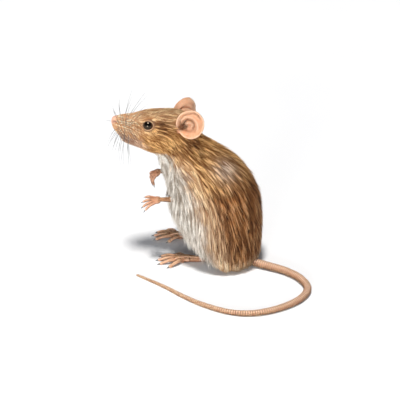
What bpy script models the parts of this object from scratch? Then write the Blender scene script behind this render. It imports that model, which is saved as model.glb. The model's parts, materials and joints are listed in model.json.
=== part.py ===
"""A field mouse sitting up on its haunches, life size, as a still museum model.

The mouse faces -Y, its left side is +X and the floor is Z = 0. The origin lies under the
seat. Lengths are written in millimetres and scaled by MM where Blender needs metres.
The coat is part of every size here, so the solids end where the tips of the fur do.
"""

import math

import bmesh
import bpy
from mathutils import Matrix, Vector

MM = 0.001

# ---- Driving dimensions, in millimetres and degrees -------------------------------------
GAP = 0.3  # clearance between two pieces that meet
FLAT = 0.15  # how far a foot or the tail is sunk before the floor cuts its flat

# How many triangles each fused shape keeps before it is cut.
BODY_TRIANGLES, HIND_FOOT_TRIANGLES, FORELEG_TRIANGLES = 2500, 450, 430
RING_SIDES = 32

# The head turns a little to its left, looks up and leans to its right.
HEAD_PIVOT = (0.0, -18.8, 47.9)  # between the ears, on the axis of the skull
HEAD_YAW, HEAD_PITCH, HEAD_ROLL = 4.0, 18.0, -9.0

# Sections of the head, from the nose to the back of the skull: how far in front of the
# pivot, how high the middle lies, half the height, half the width.
HEAD_SECTIONS = {
    "nose tip": (23.8, -0.6, 0.9, 0.9),
    "nose pad": (23.0, -0.8, 1.8, 1.7),
    "lips": (20.9, -1.5, 3.3, 2.8),
    "whisker pad": (17.3, -1.9, 5.1, 4.3),
    "cheek pouch": (14.4, -1.5, 6.4, 5.6),
    "eyes": (11.6, -1.1, 7.4, 6.7),
    "cheeks": (7.5, -0.7, 8.3, 7.9),
    "ears": (2.0, -0.1, 9.0, 8.4),
    "occiput": (-3.5, -0.3, 8.1, 7.6),
    "back of skull": (-7.5, -0.8, 5.0, 5.0),
}

# Soft shapes of the face: how far out, in front of the pivot and up, and their radii.
FACE_SHAPES = {
    "whisker pad": ((2.0, 18.4, -2.1), (2.4, 3.6, 2.5)),
    "chin": ((0.7, 16.4, -5.4), (1.6, 3.2, 1.5)),
    "brow": ((3.9, 11.0, 1.8), (2.5, 5.5, 2.6)),
    "jaw": ((4.4, 8.5, -3.6), (3.9, 5.2, 4.4)),
    "nostril": ((0.75, 22.9, -0.5), (1.0, 1.2, 1.0)),
}

# Sections of the trunk, from the neck to the seat: middle in X, Y and Z, how far the
# section leans forwards, half the depth from breast to back, half the width.
TRUNK_SECTIONS = {
    "nape": (0.0, -19.3, 45.3, 36.0, 8.3, 7.4),
    "neck": (0.3, -16.8, 42.0, 30.0, 9.8, 8.6),
    "shoulders": (0.8, -13.1, 38.2, 24.0, 12.0, 10.5),
    "breast": (1.6, -9.5, 34.6, 17.0, 14.1, 12.2),
    "ribs": (2.5, -7.0, 30.2, 12.0, 15.6, 13.6),
    "waist": (3.5, -5.1, 24.8, 6.0, 16.7, 14.6),
    "belly": (4.6, -4.0, 18.6, 3.0, 16.4, 15.2),
    "loin": (5.3, -3.1, 12.6, 0.0, 15.4, 15.2),
    "hips": (5.7, -2.3, 7.0, 0.0, 14.4, 14.2),
    "seat": (6.0, -1.4, 1.6, 0.0, 12.4, 12.2),
    "under seat": (6.2, -1.2, -1.2, 0.0, 8.0, 7.5),
}

# The hips are turned to the mouse's right, so they have a frame of their own, and its
# right thigh is swung further forwards than the left.
HIPS_CENTRE, HIPS_YAW = (4.7, -1.0, 0.0), -18.0
HAUNCH_OUT, HAUNCH_HEIGHT, HAUNCH_RADII = 8.0, 11.5, (8.2, 11.4, 12.2)
HAUNCH_FORWARD = {"left": 1.0, "right": 4.5}
THIGH_OUT, THIGH_HEIGHT, THIGH_RADII = 12.8, 10.2, (9.0, 10.6, 10.6)  # the thigh's cut
RUMP_AT, RUMP_RADII = (2.6, 5.4, 5.4), (10.5, 7.0, 6.8)

# Shoulders and upper arms, as they show through the coat: middle and radii.
ARM_SHAPES = {
    "left": (((7.5, -14.0, 33.5), (5.5, 7.0, 8.0)), ((8.6, -14.2, 28.0), (4.6, 5.4, 7.0))),
    "right": (((-5.5, -14.0, 33.5), (5.5, 7.0, 8.0)), ((-6.6, -14.8, 30.0), (4.4, 5.4, 7.0))),
}

EYE_RADIUS = 1.8
EYE_AT = (5.5, 11.4, 1.3)  # out to the side, in front of the pivot, above it

EAR_HEIGHT, EAR_WIDTH, EAR_DEPTH = 12.6, 11.2, 3.4
EAR_THICKNESS = 0.6
EAR_ROOT = (6.7, 1.1, 1.3)  # out, forward and up from the head's pivot
EAR_LEAN_OUT, EAR_LEAN_BACK, EAR_TURN = 32.0, 29.0, 48.0

# The tail's middle line on the floor, root to tip, and its radii along the way.
TAIL_ROUTE = (
    (9.5, 6.5),
    (12.4, 10.8),
    (14.8, 15.8),
    (17.9, 21.0),
    (22.9, 25.6),
    (29.8, 27.7),
    (37.0, 24.4),
    (42.8, 17.0),
    (45.9, 8.3),
    (45.1, -0.2),
    (40.5, -8.7),
    (34.9, -15.6),
    (27.7, -22.8),
    (22.8, -28.4),
    (18.7, -33.3),
)
TAIL_ROOT_RADIUS, TAIL_TIP_RADIUS = 1.85, 0.4
TAIL_ROOT_RISE = 0.6  # how much higher the root lies than the rest
TAIL_LENGTHS = 4

# Hind feet: where the heel and the middle toe's tip lie on the floor.
HIND_FEET = {
    "left": ((7.8, -3.6), (8.2, -25.4)),
    "right": ((-8.4, -6.0), (-12.2, -27.7)),
}
HIND_FOOT_LENGTH = 22.0
# Toes from the inner one out: where it leaves the foot and where it ends, as shares of the
# foot's length along it, and sideways in millimetres, outwards positive.
HIND_TOES = (
    (0.52, -0.9, 0.72, -4.4),
    (0.66, -1.0, 0.95, -3.3),
    (0.67, -0.2, 1.00, -0.4),
    (0.66, 0.7, 0.97, 2.4),
    (0.58, 1.1, 0.82, 4.8),
)
# The sole from the heel to the balls of the toes: share of the foot's length, height of
# the middle and radius.
SOLE = (
    (0.0, 1.6, 1.7),
    (0.24, 1.35, 1.4),
    (0.48, 1.3, 1.5),
    (0.6, 1.3, 1.75),
    (0.7, 1.2, 1.3),
)
TOE_RADIUS, TOE_TIP_RADIUS = 0.8, 0.55
CLAW_LENGTH, CLAW_RADIUS = 1.4, 0.34

# Forelegs: elbow, wrist, where the hand points, how far its fingers bend down and how far
# it is rolled outwards. The right one is held higher and its hand hangs from the wrist.
FORELEGS = {
    "left": ((9.5, -12.5, 26.2), (8.0, -24.7, 25.5), (7.4, -31.0, 24.2), 24.0, 30.0),
    "right": ((-7.0, -14.5, 27.6), (-6.2, -25.4, 30.4), (-6.4, -29.6, 27.6), 58.0, -30.0),
}
FOREARM_RADIUS, WRIST_RADIUS = 1.7, 0.95
PALM_RADII = (1.6, 2.1, 0.95)
FINGERS, FINGER_SPREAD, FINGER_GAP = 4, 17.0, 0.72  # how many, degrees and mm apart
FINGER_LENGTH, FINGER_RADIUS, FINGER_TIP_RADIUS = 3.6, 0.52, 0.4


# ---- Small tools -----------------------------------------------------------------------
def clear_scene():
    for old in list(bpy.data.objects):
        bpy.data.objects.remove(old)


def new_collection(name):
    collection = bpy.data.collections.new(name)
    bpy.context.scene.collection.children.link(collection)
    return collection


def new_material(name, colour, roughness):
    material = bpy.data.materials.new(name)
    material.use_nodes = True
    shader = material.node_tree.nodes["Principled BSDF"]
    shader.inputs["Base Color"].default_value = (*colour, 1.0)
    shader.inputs["Roughness"].default_value = roughness
    shader.inputs["Metallic"].default_value = 0.0
    return material


def object_from(name, builder, collection):
    """A mesh object from a filled bmesh, which is used up."""
    mesh = bpy.data.meshes.new(name)
    bmesh.ops.recalc_face_normals(builder, faces=builder.faces)
    builder.to_mesh(mesh)
    builder.free()
    made = bpy.data.objects.new(name, mesh)
    collection.objects.link(made)
    return made


def apply_modifiers(target):
    graph = bpy.context.evaluated_depsgraph_get()
    mesh = bpy.data.meshes.new_from_object(target.evaluated_get(graph))
    target.modifiers.clear()
    target.data = mesh
    return target


def remove(*targets):
    for target in targets:
        bpy.data.objects.remove(target)


def frame_at(centre, yaw=0.0, pitch=0.0, roll=0.0):
    """The matrix of a frame that faces -Y before it is turned, in millimetres."""
    turn = (
        Matrix.Rotation(math.radians(yaw), 4, "Z")
        @ Matrix.Rotation(math.radians(-pitch), 4, "X")
        @ Matrix.Rotation(math.radians(roll), 4, "Y")
    )
    return Matrix.Translation(Vector(centre)) @ turn


SIDES = ((1, "left"), (-1, "right"))
HEAD = frame_at(HEAD_PIVOT, HEAD_YAW, HEAD_PITCH, HEAD_ROLL)
HIPS = frame_at(HIPS_CENTRE, HIPS_YAW)


def add_ellipsoid(builder, frame, centre, radii, segments=32, rings=16):
    placed = frame @ Matrix.Translation(Vector(centre)) @ Matrix.Diagonal((*radii, 1.0))
    bmesh.ops.create_uvsphere(
        builder,
        u_segments=segments,
        v_segments=rings,
        radius=1.0,
        matrix=Matrix.Scale(MM, 4) @ placed,
    )


def add_loft(builder, rings):
    """Joins closed rings of points, given in millimetres, with a cap at either end."""
    loops = [[builder.verts.new(Vector(p) * MM) for p in ring] for ring in rings]
    for near, far in zip(loops, loops[1:]):
        for i in range(len(near)):
            j = (i + 1) % len(near)
            builder.faces.new((near[i], near[j], far[j], far[i]))
    builder.faces.new(loops[0])
    builder.faces.new(loops[-1][::-1])


def catmull_rom(points, steps):
    """A smooth line through the points, with this many steps from each one to the next."""
    points = [Vector(p) for p in points]
    padded = [2 * points[0] - points[1], *points, 2 * points[-1] - points[-2]]
    line = []
    for a, b, c, d in zip(padded, padded[1:], padded[2:], padded[3:]):
        for k in range(steps):
            t = k / steps
            square = (2 * a - 5 * b + 4 * c - d) * t**2
            cube = (3 * b - a - 3 * c + d) * t**3
            line.append(0.5 * (2 * b + (c - a) * t + square + cube))
    line.append(points[-1])
    return line


def spread(values, count):
    """Values at this many even steps along a row of values, straight in between."""
    found = []
    for k in range(count):
        place = k / (count - 1) * (len(values) - 1)
        low = min(int(place), len(values) - 2)
        found.append(values[low] + (values[low + 1] - values[low]) * (place - low))
    return found


def tapered_tube(name, points, radii, collection, resolution=4):
    """A closed mesh tube along the points, as thick at each as its radius."""
    curve = bpy.data.curves.new(name, "CURVE")
    curve.dimensions = "3D"
    curve.bevel_depth = MM
    curve.bevel_resolution = resolution
    curve.use_fill_caps = True
    spline = curve.splines.new("POLY")
    spline.points.add(len(points) - 1)
    for knot, point, radius in zip(spline.points, points, radii):
        knot.co = (*(Vector(point) * MM), 1.0)
        knot.radius = radius
    line = bpy.data.objects.new(name, curve)
    collection.objects.link(line)
    graph = bpy.context.evaluated_depsgraph_get()
    mesh = bpy.data.meshes.new_from_object(line.evaluated_get(graph))
    builder = bmesh.new()
    builder.from_mesh(mesh)
    bmesh.ops.remove_doubles(builder, verts=builder.verts, dist=0.001 * MM)
    remove(line)
    return object_from(name, builder, collection)


def joined(name, pieces, collection):
    """One object that holds the meshes of several, which are removed."""
    builder = bmesh.new()
    for piece in pieces:
        builder.from_mesh(piece.data)
    made = object_from(name, builder, collection)
    remove(*pieces)
    return made


def fused(target, voxel, smoothing, triangles):
    """Makes overlapping shapes one skin, softens where they meet and lowers its detail."""
    remesh = target.modifiers.new("fuse", "REMESH")
    remesh.mode = "VOXEL"
    remesh.voxel_size = voxel * MM
    soften = target.modifiers.new("soften", "SMOOTH")
    soften.factor = 0.5
    soften.iterations = smoothing
    apply_modifiers(target)
    lower = target.modifiers.new("lower", "DECIMATE")
    lower.ratio = triangles / (2 * len(target.data.polygons))
    return apply_modifiers(target)


def as_cutter(target):
    target.hide_render = True
    target.display_type = "WIRE"
    return target


def grown(target, by, collection):
    """A cutter that is the target, larger all round."""
    mesh = target.data.copy()
    cutter = bpy.data.objects.new(target.name + "_grown", mesh)
    collection.objects.link(cutter)
    swell = cutter.modifiers.new("swell", "DISPLACE")
    swell.strength = by * MM
    swell.mid_level = 0.0
    return as_cutter(apply_modifiers(cutter))


def cut(target, *cutters):
    for cutter in cutters:
        take = target.modifiers.new("cut", "BOOLEAN")
        take.operation = "DIFFERENCE"
        take.object = cutter
        apply_modifiers(target)
    return target


def slab(name, centre, normal, across, collection):
    """A square cutter as thick as the gap, which parts what it passes through."""
    turn = Vector(normal).to_track_quat("Z", "Y").to_matrix().to_4x4()
    size = Matrix.Diagonal((across, across, GAP, 1.0))
    builder = bmesh.new()
    placed = Matrix.Scale(MM, 4) @ Matrix.Translation(Vector(centre)) @ turn @ size
    bmesh.ops.create_cube(builder, size=1.0, matrix=placed)
    return as_cutter(object_from(name, builder, collection))


def loose_parts(target, collection):
    """The separate bodies of a mesh, each as its own object, largest first."""
    builder = bmesh.new()
    builder.from_mesh(target.data)
    unseen = set(builder.verts)
    islands = []
    while unseen:
        queue = [unseen.pop()]
        island = set(queue)
        while queue:
            for edge in queue.pop().link_edges:
                for vert in edge.verts:
                    if vert in unseen:
                        unseen.remove(vert)
                        island.add(vert)
                        queue.append(vert)
        islands.append(island)
    islands.sort(key=len, reverse=True)
    parts = []
    for number, island in enumerate(islands):
        piece = bmesh.new()
        copies = {vert: piece.verts.new(vert.co) for vert in island}
        faces = {face for vert in island for face in vert.link_faces}
        for face in sorted(faces, key=lambda f: f.index):
            piece.faces.new([copies[vert] for vert in face.verts])
        parts.append(object_from(f"loose_{number}", piece, collection))
    builder.free()
    remove(target)
    return parts


def middle(target):
    corners = [vert.co for vert in target.data.vertices]
    return sum(corners, Vector()) / len(corners) / MM


def name_by_place(parts, places):
    """Names each part after the place, in millimetres, that lies nearest to its middle."""
    for name, place in places.items():
        found = min(parts, key=lambda part: (middle(part) - Vector(place)).length)
        parts.remove(found)
        found.name = name
    remove(*parts)


# ---- Head and trunk ----------------------------------------------------------------------
def section_ring(frame, half_height, half_width):
    """A closed ring in the frame's XZ plane."""
    ring = []
    for k in range(RING_SIDES):
        turn = 2 * math.pi * k / RING_SIDES
        spot = Vector((half_width * math.cos(turn), 0.0, half_height * math.sin(turn)))
        ring.append(frame @ spot)
    return ring


def add_head(builder):
    rings = []
    for forward, up, half_height, half_width in catmull_rom(HEAD_SECTIONS.values(), 3):
        frame = HEAD @ Matrix.Translation((0.0, -forward, up))
        rings.append(section_ring(frame, half_height, half_width))
    add_loft(builder, rings)


def add_face(builder):
    """The soft shapes of the face, each on both sides of the head."""
    for side in (1, -1):
        for (out, forward, up), radii in FACE_SHAPES.values():
            add_ellipsoid(builder, HEAD, (side * out, -forward, up), radii, 20, 12)


def add_trunk(builder):
    rings = []
    for x, y, z, lean, half_depth, half_width in catmull_rom(TRUNK_SECTIONS.values(), 3):
        # A section that leans by nothing is level, with its depth along Y.
        turn = Matrix.Rotation(math.radians(90.0 + lean), 4, "X")
        frame = Matrix.Translation((x, y, z)) @ turn
        rings.append(section_ring(frame, half_depth, half_width))
    add_loft(builder, rings)


def haunch_centre(side, word, out=HAUNCH_OUT, height=HAUNCH_HEIGHT):
    return (side * out, -HAUNCH_FORWARD[word], height)


def build_body(helpers):
    """Head, neck, trunk and thighs as one closed skin, before it is parted."""
    builder = bmesh.new()
    add_head(builder)
    add_face(builder)
    add_trunk(builder)
    add_ellipsoid(builder, HIPS, RUMP_AT, RUMP_RADII)
    for side, word in SIDES:
        add_ellipsoid(builder, HIPS, haunch_centre(side, word), HAUNCH_RADII)
        for centre, radii in ARM_SHAPES[word]:
            add_ellipsoid(builder, Matrix.Identity(4), centre, radii)
    body = object_from("body", builder, helpers)
    return fused(body, voxel=0.55, smoothing=10, triangles=BODY_TRIANGLES)


def eye_centre(side):
    out, forward, up = EYE_AT
    return HEAD @ Vector((side * out, -forward, up))


def place_ball(name, side, radius, helpers):
    builder = bmesh.new()
    add_ellipsoid(builder, Matrix.Identity(4), eye_centre(side), (radius,) * 3, 14, 8)
    return object_from(name, builder, helpers)


def build_eyes(body, helpers):
    """The two eyeballs, and their sockets cut in the head."""
    for side, word in SIDES:
        place_ball(f"eye_{word}", side, EYE_RADIUS, helpers)
        socket = as_cutter(place_ball(f"socket_{word}", side, EYE_RADIUS + GAP, helpers))
        cut(body, socket)
        remove(socket)


def thigh_shell(side, word, helpers):
    """A thin shell that parts the thigh from the trunk."""
    builder = bmesh.new()
    add_ellipsoid(builder, HIPS, haunch_centre(side, word, THIGH_OUT, THIGH_HEIGHT), THIGH_RADII, 18, 10)
    shell = object_from(f"thigh_shell_{word}", builder, helpers)
    wall = shell.modifiers.new("wall", "SOLIDIFY")
    wall.thickness = GAP * MM
    wall.offset = 0.0
    return as_cutter(apply_modifiers(shell))


def part_body(body, helpers):
    """Cuts the one skin into head, neck, trunk and thighs with thin cuts."""
    head_cut = HEAD @ Vector((0.0, 4.0, -3.0))
    head_normal = HEAD.to_3x3() @ Vector((0.0, -0.86, 0.5))
    neck_cut = Vector(TRUNK_SECTIONS["shoulders"][:3])
    lean = math.radians(TRUNK_SECTIONS["shoulders"][3] + 10.0)
    cutters = [
        slab("cut_head", head_cut, head_normal, 60.0, helpers),
        slab("cut_neck", neck_cut, (0.0, -math.sin(lean), math.cos(lean)), 44.0, helpers),
        thigh_shell(1, "left", helpers),
        thigh_shell(-1, "right", helpers),
    ]
    cut(body, *cutters)
    remove(*cutters)
    parts = loose_parts(body, helpers)
    name_by_place(
        parts,
        {
            "trunk": TRUNK_SECTIONS["belly"][:3],
            "head": HEAD @ Vector((0.0, -10.0, 0.0)),
            "neck": TRUNK_SECTIONS["neck"][:3],
            "thigh_left": HIPS @ Vector(haunch_centre(1, "left", HAUNCH_OUT + 5.0)),
            "thigh_right": HIPS @ Vector(haunch_centre(-1, "right", HAUNCH_OUT + 5.0)),
        },
    )


# ---- Ears --------------------------------------------------------------------------------
def ear_frame(side):
    """Where an ear stands on the head: +Z up the pinna, -Y out of its hollow."""
    out, forward, up = EAR_ROOT
    place = Matrix.Translation((side * out, -forward, up))
    lean = Matrix.Rotation(math.radians(side * EAR_LEAN_OUT), 4, "Y")
    back = Matrix.Rotation(math.radians(-EAR_LEAN_BACK), 4, "X")
    turn = Matrix.Rotation(math.radians(side * EAR_TURN), 4, "Z")
    return HEAD @ place @ lean @ back @ turn


def ear_point(around, out):
    """A point of the pinna's sheet: around it from 0 to 1, out from the canal to the rim."""
    turn = 2 * math.pi * around
    rim = Vector(
        (
            EAR_WIDTH / 2 * math.sin(turn),
            0.0,
            EAR_HEIGHT * (0.52 - 0.48 * math.cos(turn)),
        )
    )
    canal = Vector((0.0, EAR_DEPTH, EAR_HEIGHT * 0.14))
    bowl = EAR_DEPTH * (1.0 - out**2.2)
    flat = canal.lerp(rim, out)
    return Vector((flat.x, bowl, flat.z))


def build_ear(side, word, head, helpers):
    around, outward = 18, 5
    builder = bmesh.new()
    frame = ear_frame(side)
    loops = []
    for j in range(1, outward + 1):
        ring = [ear_point(i / around, j / outward) for i in range(around)]
        if side < 0:
            ring = [Vector((-p.x, p.y, p.z)) for p in ring]
        loops.append([builder.verts.new(frame @ p * MM) for p in ring])
    for near, far in zip(loops, loops[1:]):
        for i in range(around):
            j = (i + 1) % around
            builder.faces.new((near[i], near[j], far[j], far[i]))
    builder.faces.new(loops[0])
    ear = object_from(f"ear_{word}", builder, helpers)
    wall = ear.modifiers.new("wall", "SOLIDIFY")
    wall.thickness = EAR_THICKNESS * MM
    wall.offset = 0.0
    apply_modifiers(ear)
    return cut(ear, head)


# ---- Legs --------------------------------------------------------------------------------
def claw(name, root, aim, helpers):
    """A short claw that bends down to its point."""
    aim = Vector(aim).normalized()
    tip = Vector(root) + aim * CLAW_LENGTH + Vector((0.0, 0.0, -0.25 * CLAW_LENGTH))
    bend = Vector(root) + aim * CLAW_LENGTH * 0.55 + Vector((0.0, 0.0, 0.03 * CLAW_LENGTH))
    radii = (CLAW_RADIUS, CLAW_RADIUS * 0.85, CLAW_RADIUS * 0.5)
    return tapered_tube(name, (root, bend, tip), radii, helpers)


def build_hind_foot(side, word, body, floor, helpers):
    heel, toe = (Vector((*spot, 0.0)) for spot in HIND_FEET[word])
    along = (toe - heel).normalized()
    outward = Vector((-along.y, along.x, 0.0))
    if outward.x * side < 0:
        outward = -outward

    def spot(share, sideways, height):
        lift = Vector((0.0, 0.0, height))
        return heel + along * share * HIND_FOOT_LENGTH + outward * sideways + lift

    sole = catmull_rom([spot(share, 0.0, height) for share, height, _ in SOLE], 2)
    thickness = spread([radius for _, _, radius in SOLE], len(sole))
    pieces = [tapered_tube("sole", sole, thickness, helpers)]
    for number, (root, root_side, end, end_side) in enumerate(HIND_TOES):
        knuckle = ((root + end) / 2 + 0.02, (root_side + end_side) / 2 + 0.12 * end_side)
        line = [
            spot(root - 0.06, root_side * 0.8, 1.3),
            spot(root + 0.04, root_side, 1.35),
            spot(*knuckle, 1.45),
            spot(end, end_side, 0.62),
        ]
        radii = (1.0, TOE_RADIUS, TOE_RADIUS * 0.9, TOE_TIP_RADIUS)
        line = catmull_rom(line, 2)
        pieces.append(tapered_tube(f"toe_{number}", line, spread(radii, len(line)), helpers))
        pieces.append(claw(f"claw_{number}", line[-1], line[-1] - line[-3], helpers))
    foot = joined(f"hind_foot_{word}", pieces, helpers)
    fused(foot, voxel=0.2, smoothing=3, triangles=HIND_FOOT_TRIANGLES)
    foot.data.transform(Matrix.Translation((0.0, 0.0, -FLAT * MM)))
    return cut(foot, body, floor)


def build_foreleg(side, word, body, helpers):
    """Forearm and hand as one skin, parted at the wrist."""
    *points, curl, roll = FORELEGS[word]
    elbow, wrist, aim = (Vector(p) for p in points)
    forward = (aim - wrist).normalized()
    out = Vector((side, 0.0, 0.0))
    across = (out - forward * out.dot(forward)).normalized()
    up = forward.cross(across) * side
    turn = Matrix.Rotation(math.radians(-roll * side), 3, forward)
    across, up = turn @ across, turn @ up
    arm = catmull_rom([elbow, elbow.lerp(wrist, 0.55), wrist], 3)
    radii = spread((FOREARM_RADIUS, WRIST_RADIUS), len(arm))
    pieces = [tapered_tube("arm", arm, radii, helpers)]
    palm_at = wrist + forward * 1.6
    turn = Matrix((across, forward, up)).transposed().to_4x4()
    builder = bmesh.new()
    add_ellipsoid(builder, Matrix.Translation(palm_at) @ turn, (0, 0, 0), PALM_RADII, 16, 10)
    pieces.append(object_from("palm", builder, helpers))
    curl = math.radians(curl)
    for number in range(FINGERS):
        share = number - (FINGERS - 1) / 2
        angle = math.radians(FINGER_SPREAD * share)
        way = forward * math.cos(angle) + across * math.sin(angle)
        bent = way * math.cos(curl) - up * math.sin(curl)
        length = FINGER_LENGTH * (1.0 - 0.07 * share**2)
        root = palm_at + forward * 0.9 + across * share * FINGER_GAP
        knuckle = root + (way + bent) * length * 0.25 + up * 0.3
        tip = knuckle + bent * length * 0.5 - up * 0.2
        line = catmull_rom([root, knuckle, tip], 3)
        radii = spread((FINGER_RADIUS, FINGER_TIP_RADIUS), len(line))
        pieces.append(tapered_tube(f"finger_{number}", line, radii, helpers))
        pieces.append(claw(f"claw_{number}", tip, tip - line[-3], helpers))
    leg = joined(f"foreleg_{word}", pieces, helpers)
    fused(leg, voxel=0.2, smoothing=2, triangles=FORELEG_TRIANGLES)
    cut(leg, body)
    wrist_cut = slab("cut_wrist", wrist, (wrist - elbow).normalized(), 8.0, helpers)
    cut(leg, wrist_cut)
    remove(wrist_cut)
    name_by_place(
        loose_parts(leg, helpers),
        {f"forepaw_{word}": wrist + forward * 3.0, f"foreleg_{word}": elbow.lerp(wrist, 0.75)},
    )


# ---- Tail --------------------------------------------------------------------------------
def tail_radius(share):
    """The tail's radius at a share of its length: it thins slowly, then fast at the tip."""
    return TAIL_TIP_RADIUS + (TAIL_ROOT_RADIUS - TAIL_TIP_RADIUS) * (1.0 - share**1.25) ** 0.9


def tail_line():
    route = catmull_rom([(x, y, 0.0) for x, y in TAIL_ROUTE], 3)
    steps = len(route) - 1
    line = []
    for k, spot in enumerate(route):
        share = k / steps
        rise = TAIL_ROOT_RISE * max(0.0, 1.0 - share / 0.14) ** 2
        line.append(Vector((spot.x, spot.y, tail_radius(share) - FLAT + rise)))
    return line


def build_tail(body, floor, helpers):
    line = tail_line()
    steps = len(line) - 1
    radii = [tail_radius(k / steps) for k in range(steps + 1)]
    tail = tapered_tube("tail", line, radii, helpers, resolution=2)
    cut(tail, body, floor)
    places = {}
    for number in range(TAIL_LENGTHS):
        low, high = (round(steps * (number + part) / TAIL_LENGTHS) for part in (0.0, 1.0))
        places[f"tail_{number + 1}"] = line[(low + high) // 2]
        if number:
            way = line[low + 1] - line[low - 1]
            across = slab(f"cut_tail_{number}", line[low], way, 9.0, helpers)
            cut(tail, across)
            remove(across)
    name_by_place(loose_parts(tail, helpers), places)


# ---- The whole mouse ---------------------------------------------------------------------
# Colour and roughness of each kind of piece, by the start of its name.
FINISHES = {
    "ear": ((0.66, 0.36, 0.24), 0.55),
    "eye": ((0.012, 0.008, 0.006), 0.06),
    "forepaw": ((0.64, 0.36, 0.25), 0.6),
    "hind_foot": ((0.62, 0.35, 0.25), 0.6),
    "tail": ((0.46, 0.25, 0.16), 0.65),
    "": ((0.42, 0.23, 0.09), 0.9),
}


def floor_block(helpers):
    """What lies below the floor, to cut the flats that the mouse rests on."""
    builder = bmesh.new()
    below = Matrix.Translation((0.0, 0.0, -0.05)) @ Matrix.Diagonal((0.3, 0.3, 0.1, 1.0))
    bmesh.ops.create_cube(builder, size=1.0, matrix=below)
    return as_cutter(object_from("floor", builder, helpers))


def finish(piece, mouse):
    """Moves a piece to the mouse's collection and gives it its material."""
    colour, roughness = next(
        look for start, look in FINISHES.items() if piece.name.startswith(start)
    )
    for old in list(piece.users_collection):
        old.objects.unlink(piece)
    mouse.objects.link(piece)
    piece.data.materials.clear()
    piece.data.materials.append(new_material(piece.name, colour, roughness))
    piece.data.shade_smooth()
    piece.data.set_sharp_from_angle(angle=math.radians(50.0))


def main():
    clear_scene()
    mouse = new_collection("field_mouse")
    helpers = new_collection("helpers")
    floor = floor_block(helpers)
    body = build_body(helpers)
    around_body = grown(body, GAP, helpers)
    cut(body, floor)
    build_eyes(body, helpers)
    for side, word in SIDES:
        build_ear(side, word, around_body, helpers)
        build_hind_foot(side, word, around_body, floor, helpers)
        build_foreleg(side, word, around_body, helpers)
    build_tail(around_body, floor, helpers)
    part_body(body, helpers)
    remove(around_body, floor)
    for piece in list(helpers.objects):
        finish(piece, mouse)


main()
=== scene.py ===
# %% [markdown]
# # A field mouse, sitting up
# This is a still, life-size model of a long-tailed field mouse, such as a museum shows in a
# case. The solid shape is already built and packed, and it is loaded here as a fixed frame.
# Everything below dresses that frame: one skin with folds, lids, ears and paws, then a coat
# of fine tufts, claws, whiskers and glossy eyes. Where each part lies is measured on the frame
# or follows the same numbers that its solids were built with.

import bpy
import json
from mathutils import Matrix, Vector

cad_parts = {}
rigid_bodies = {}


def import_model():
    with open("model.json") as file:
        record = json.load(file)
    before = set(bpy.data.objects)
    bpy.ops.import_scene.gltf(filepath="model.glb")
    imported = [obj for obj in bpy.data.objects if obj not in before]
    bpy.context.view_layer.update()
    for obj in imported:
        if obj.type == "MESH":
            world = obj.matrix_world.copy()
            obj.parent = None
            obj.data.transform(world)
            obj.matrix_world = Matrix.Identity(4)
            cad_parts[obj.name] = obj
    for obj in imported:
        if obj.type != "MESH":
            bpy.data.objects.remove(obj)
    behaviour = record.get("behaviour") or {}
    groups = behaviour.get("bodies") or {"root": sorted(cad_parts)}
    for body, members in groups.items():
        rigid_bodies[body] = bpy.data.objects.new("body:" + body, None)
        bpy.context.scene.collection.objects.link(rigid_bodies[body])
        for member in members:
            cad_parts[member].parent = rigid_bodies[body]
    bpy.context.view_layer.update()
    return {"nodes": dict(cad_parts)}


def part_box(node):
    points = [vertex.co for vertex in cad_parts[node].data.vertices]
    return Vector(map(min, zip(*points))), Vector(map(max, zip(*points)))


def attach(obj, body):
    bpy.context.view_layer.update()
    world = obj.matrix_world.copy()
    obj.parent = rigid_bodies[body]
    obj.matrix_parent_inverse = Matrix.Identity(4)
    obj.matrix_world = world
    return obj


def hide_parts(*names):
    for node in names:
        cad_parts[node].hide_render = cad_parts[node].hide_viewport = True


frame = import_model()

import json
import math

import bpy
import numpy as np
from mathutils import Matrix, Vector
from mathutils.bvhtree import BVHTree
from mathutils.kdtree import KDTree

MM = 0.001  # every size below is in millimetres, and meshes are made in metres
rng = np.random.default_rng(7)
print("nodes in the frame:", len(frame["nodes"]))

# %% [markdown]
# ## Shapes as arrays
# A coat has about a hundred thousand tufts, and Python is too slow to handle them one by one.
# So a shape here is a pair of arrays, its points and its faces, and each step works on all of
# them at once. A face is a row of four corner numbers, and a triangle has -1 as its fourth.


# %% Merge shapes and turn them into meshes
def merged(shapes):
    """Several shapes as one."""
    points, faces, start = [], [], 0
    for some_points, some_faces in shapes:
        points.append(some_points)
        faces.append(np.where(some_faces < 0, -1, some_faces + start))
        start += len(some_points)
    return np.vstack(points), np.vstack(faces)


def mesh_from(name, shape, scale=1.0):
    points, faces = shape
    sizes = np.where(faces[:, 3] < 0, 3, 4)
    corners = faces[faces >= 0].astype(np.int32)
    starts = np.concatenate(([0], np.cumsum(sizes)[:-1])).astype(np.int32)
    mesh = bpy.data.meshes.new(name)
    mesh.vertices.add(len(points))
    mesh.vertices.foreach_set("co", (points * scale).astype(np.float32).ravel())
    mesh.loops.add(len(corners))
    mesh.loops.foreach_set("vertex_index", corners)
    mesh.polygons.add(len(faces))
    mesh.polygons.foreach_set("loop_start", starts)
    mesh.update(calc_edges=True)
    mesh.shade_smooth()
    return mesh


def shape_from(mesh):
    points = np.empty(3 * len(mesh.vertices), np.float32)
    mesh.vertices.foreach_get("co", points)
    sizes = np.empty(len(mesh.polygons), np.int32)
    mesh.polygons.foreach_get("loop_total", sizes)
    corners = np.empty(len(mesh.loops), np.int32)
    mesh.loops.foreach_get("vertex_index", corners)
    starts = np.concatenate(([0], np.cumsum(sizes)[:-1]))
    faces = np.full((len(sizes), 4), -1)
    for corner in range(4):
        has = sizes > corner
        faces[has, corner] = corners[starts[has] + corner]
    return points.reshape(-1, 3).astype(float), faces


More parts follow.
